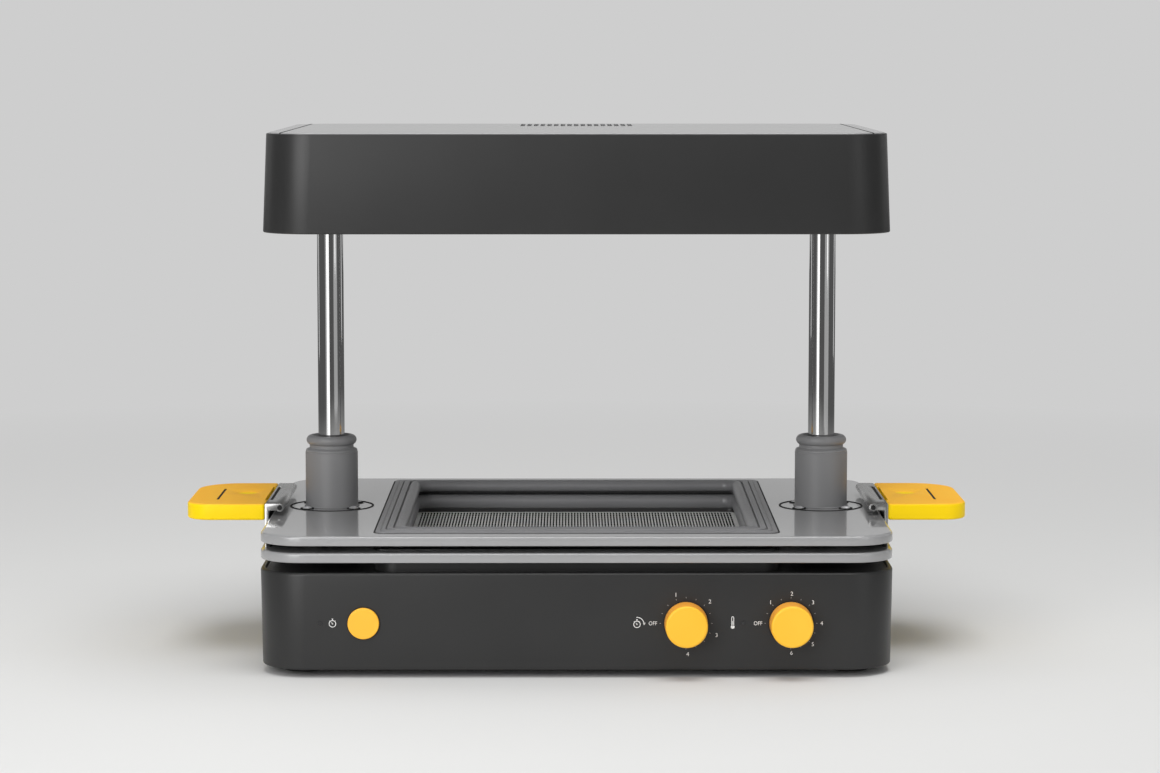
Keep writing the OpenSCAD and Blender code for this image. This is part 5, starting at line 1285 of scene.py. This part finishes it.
# middle and one corner of each group, z, direction of the heads and reach of the shanks
heaterScrews = (((0, 0), (124.5, 60), plateLow, "down", 10.5), ((0, 0), (124.5, 60), frameTop, "up", 10.5),
                ((0, 0), (119.69, 121.55), plateLow, "down", 4.5),
                ((0, 0), (175.85, 60), plateLow, "down", 4.5))
casingScrews = cornerScrews(**bottomScrews)
casingScrews += [(x, boardBack, z, "back", controlScrews["reach"])
                 for x in controlScrews["columns"] for z in controlScrews["rows"]]
casingScrews += cornerScrews(**powerScrews)
casingScrews += [p for x in columnPlaces for p in ringOf(x, **socketRing)]
for group in heaterScrews:
    casingScrews += cornerScrews(*group)
screwSet("casingScrews", casingScrews, *bodyHead, "root", "case_screws")
print("screws made")

# Floor, light and camera

stageLook = {"floor": "d9d9d8", "floorRadius": 40, "backdrop": "cecece", "mirroredPaper": "606060",
             "fadeFrom": 0.35, "fadeTo": 1.4, "worldLight": 0.36, "mirroredLight": 0.14}
# place, height of the aim over the floor, width, height and watts of each soft box
softboxes = {
    "key": ((-1.05, -1.95, 0.8), 0.17, 1.3, 1.3, 18.2),
    "top": ((0.15, -0.3, 2.2), 0.15, 1.6, 1.4, 32),
    "frontTop": ((0, -1.6, 1.5), 0.15, 2.6, 0.22, 3.8),
    "fill": ((1.5, -1.55, 0.7), 0.17, 0.35, 1.3, 1.5),
    "back": ((0, 2.6, 0.45), 0.3, 5.0, 0.8, 4.5),
    "rimLeft": ((-1.7, 0.9, 0.5), 0.15, 0.4, 1.2, 1),
    "rimRight": ((1.7, 0.9, 0.5), 0.15, 0.4, 1.2, 1),
    # low strips just outside the picture, for the long gleams on the columns
    "stripLeft": ((-0.43, -0.8, 0.27), 0.27, 0.33, 0.54, 0.95),
    "stripFarLeft": ((-0.66, -0.72, 0.27), 0.27, 0.24, 0.54, 0.18),
    "stripRight": ((0.78, -0.85, 0.3), 0.3, 0.75, 0.6, 0.56),
}
view = {"focalPixels": 3290.1, "imagePixels": 1160, "sensorMm": 36, "place": (-0.00289, -1.9957, 0.36078),
        "pitchDown": 5.840, "turnRight": 0.1456}


def makeFloor():
    bm = bmesh.new()
    bmesh.ops.create_circle(bm, cap_ends=True, segments=96, radius=stageLook["floorRadius"])
    mesh = bpy.data.meshes.new("floor")
    bm.to_mesh(mesh)
    bm.free()
    material, tree, shader, place = newMaterial("floor paper matt pale", {
        "Base Color": linear(stageLook["floor"]), "Roughness": 0.9, "Specular IOR Level": 0.1})
    # away from the machine the paper takes the backdrop's colour to the eye, so that no horizon shows,
    # and a darker one in reflections, as in a studio with dark walls
    away = addNode(tree, "ShaderNodeVectorMath", {0: place}, operation="LENGTH").outputs["Value"]
    blend = rangeOf(tree, away, 0, 1, stageLook["fadeFrom"], stageLook["fadeTo"])
    path = addNode(tree, "ShaderNodeLightPath").outputs
    seen = maths(tree, "MAXIMUM", path["Is Camera Ray"], path["Is Glossy Ray"])
    tone = tintBetween(tree, path["Is Glossy Ray"], stageLook["backdrop"], stageLook["mirroredPaper"])
    surface = shader.outputs[0].links[0].to_socket
    farPaper = addNode(tree, "ShaderNodeEmission", {"Color": tone})
    share = maths(tree, "MULTIPLY", blend, seen)
    both = addNode(tree, "ShaderNodeMixShader", {0: share, 1: shader, 2: farPaper})
    tree.links.new(both.outputs[0], surface)
    mesh.materials.append(material)
    floor = showObject("floor", mesh)


def makeWorld():
    world = bpy.data.worlds.new("studio")
    bpy.context.scene.world = world
    world.use_nodes = True
    tree = world.node_tree
    tree.nodes.clear()
    path = addNode(tree, "ShaderNodeLightPath").outputs
    seen = maths(tree, "MAXIMUM", path["Is Camera Ray"], path["Is Transmission Ray"])
    level = rangeOf(tree, path["Is Glossy Ray"], stageLook["worldLight"], stageLook["mirroredLight"], 0, 1)
    light = addNode(tree, "ShaderNodeBackground", {"Color": (1, 1, 1, 1), "Strength": level})
    colour = linear(stageLook["backdrop"])
    backdrop = addNode(tree, "ShaderNodeBackground", {"Color": colour, "Strength": 1.0})
    both = addNode(tree, "ShaderNodeMixShader", {0: seen, 1: light, 2: backdrop})
    addNode(tree, "ShaderNodeOutputWorld", {"Surface": both})


def addSoftbox(name, place, aimZ, width, height, power):
    lamp = bpy.data.lights.new(name, "AREA")
    lamp.shape, lamp.size, lamp.size_y, lamp.energy = "RECTANGLE", width, height, power
    box = showObject(name, lamp)
    box.location, box.rotation_mode = place, "QUATERNION"
    box.rotation_quaternion = (Vector((0, 0, aimZ)) - Vector(place)).to_track_quat("-Z", "Y")
    box.visible_camera = False


def makeCamera():
    lens = bpy.data.cameras.new("camera")
    lens.sensor_width = view["sensorMm"]
    lens.lens = view["focalPixels"] / view["imagePixels"] * view["sensorMm"]
    camera = showObject("camera", lens)
    camera.location = view["place"]
    camera.rotation_euler = (math.radians(90 - view["pitchDown"]), 0, math.radians(-view["turnRight"]))
    bpy.context.scene.camera = camera


makeFloor()
makeWorld()
for name, values in softboxes.items():
    addSoftbox(name, *values)
makeCamera()
bpy.context.scene.view_settings.view_transform = "Standard"

print("scene made")
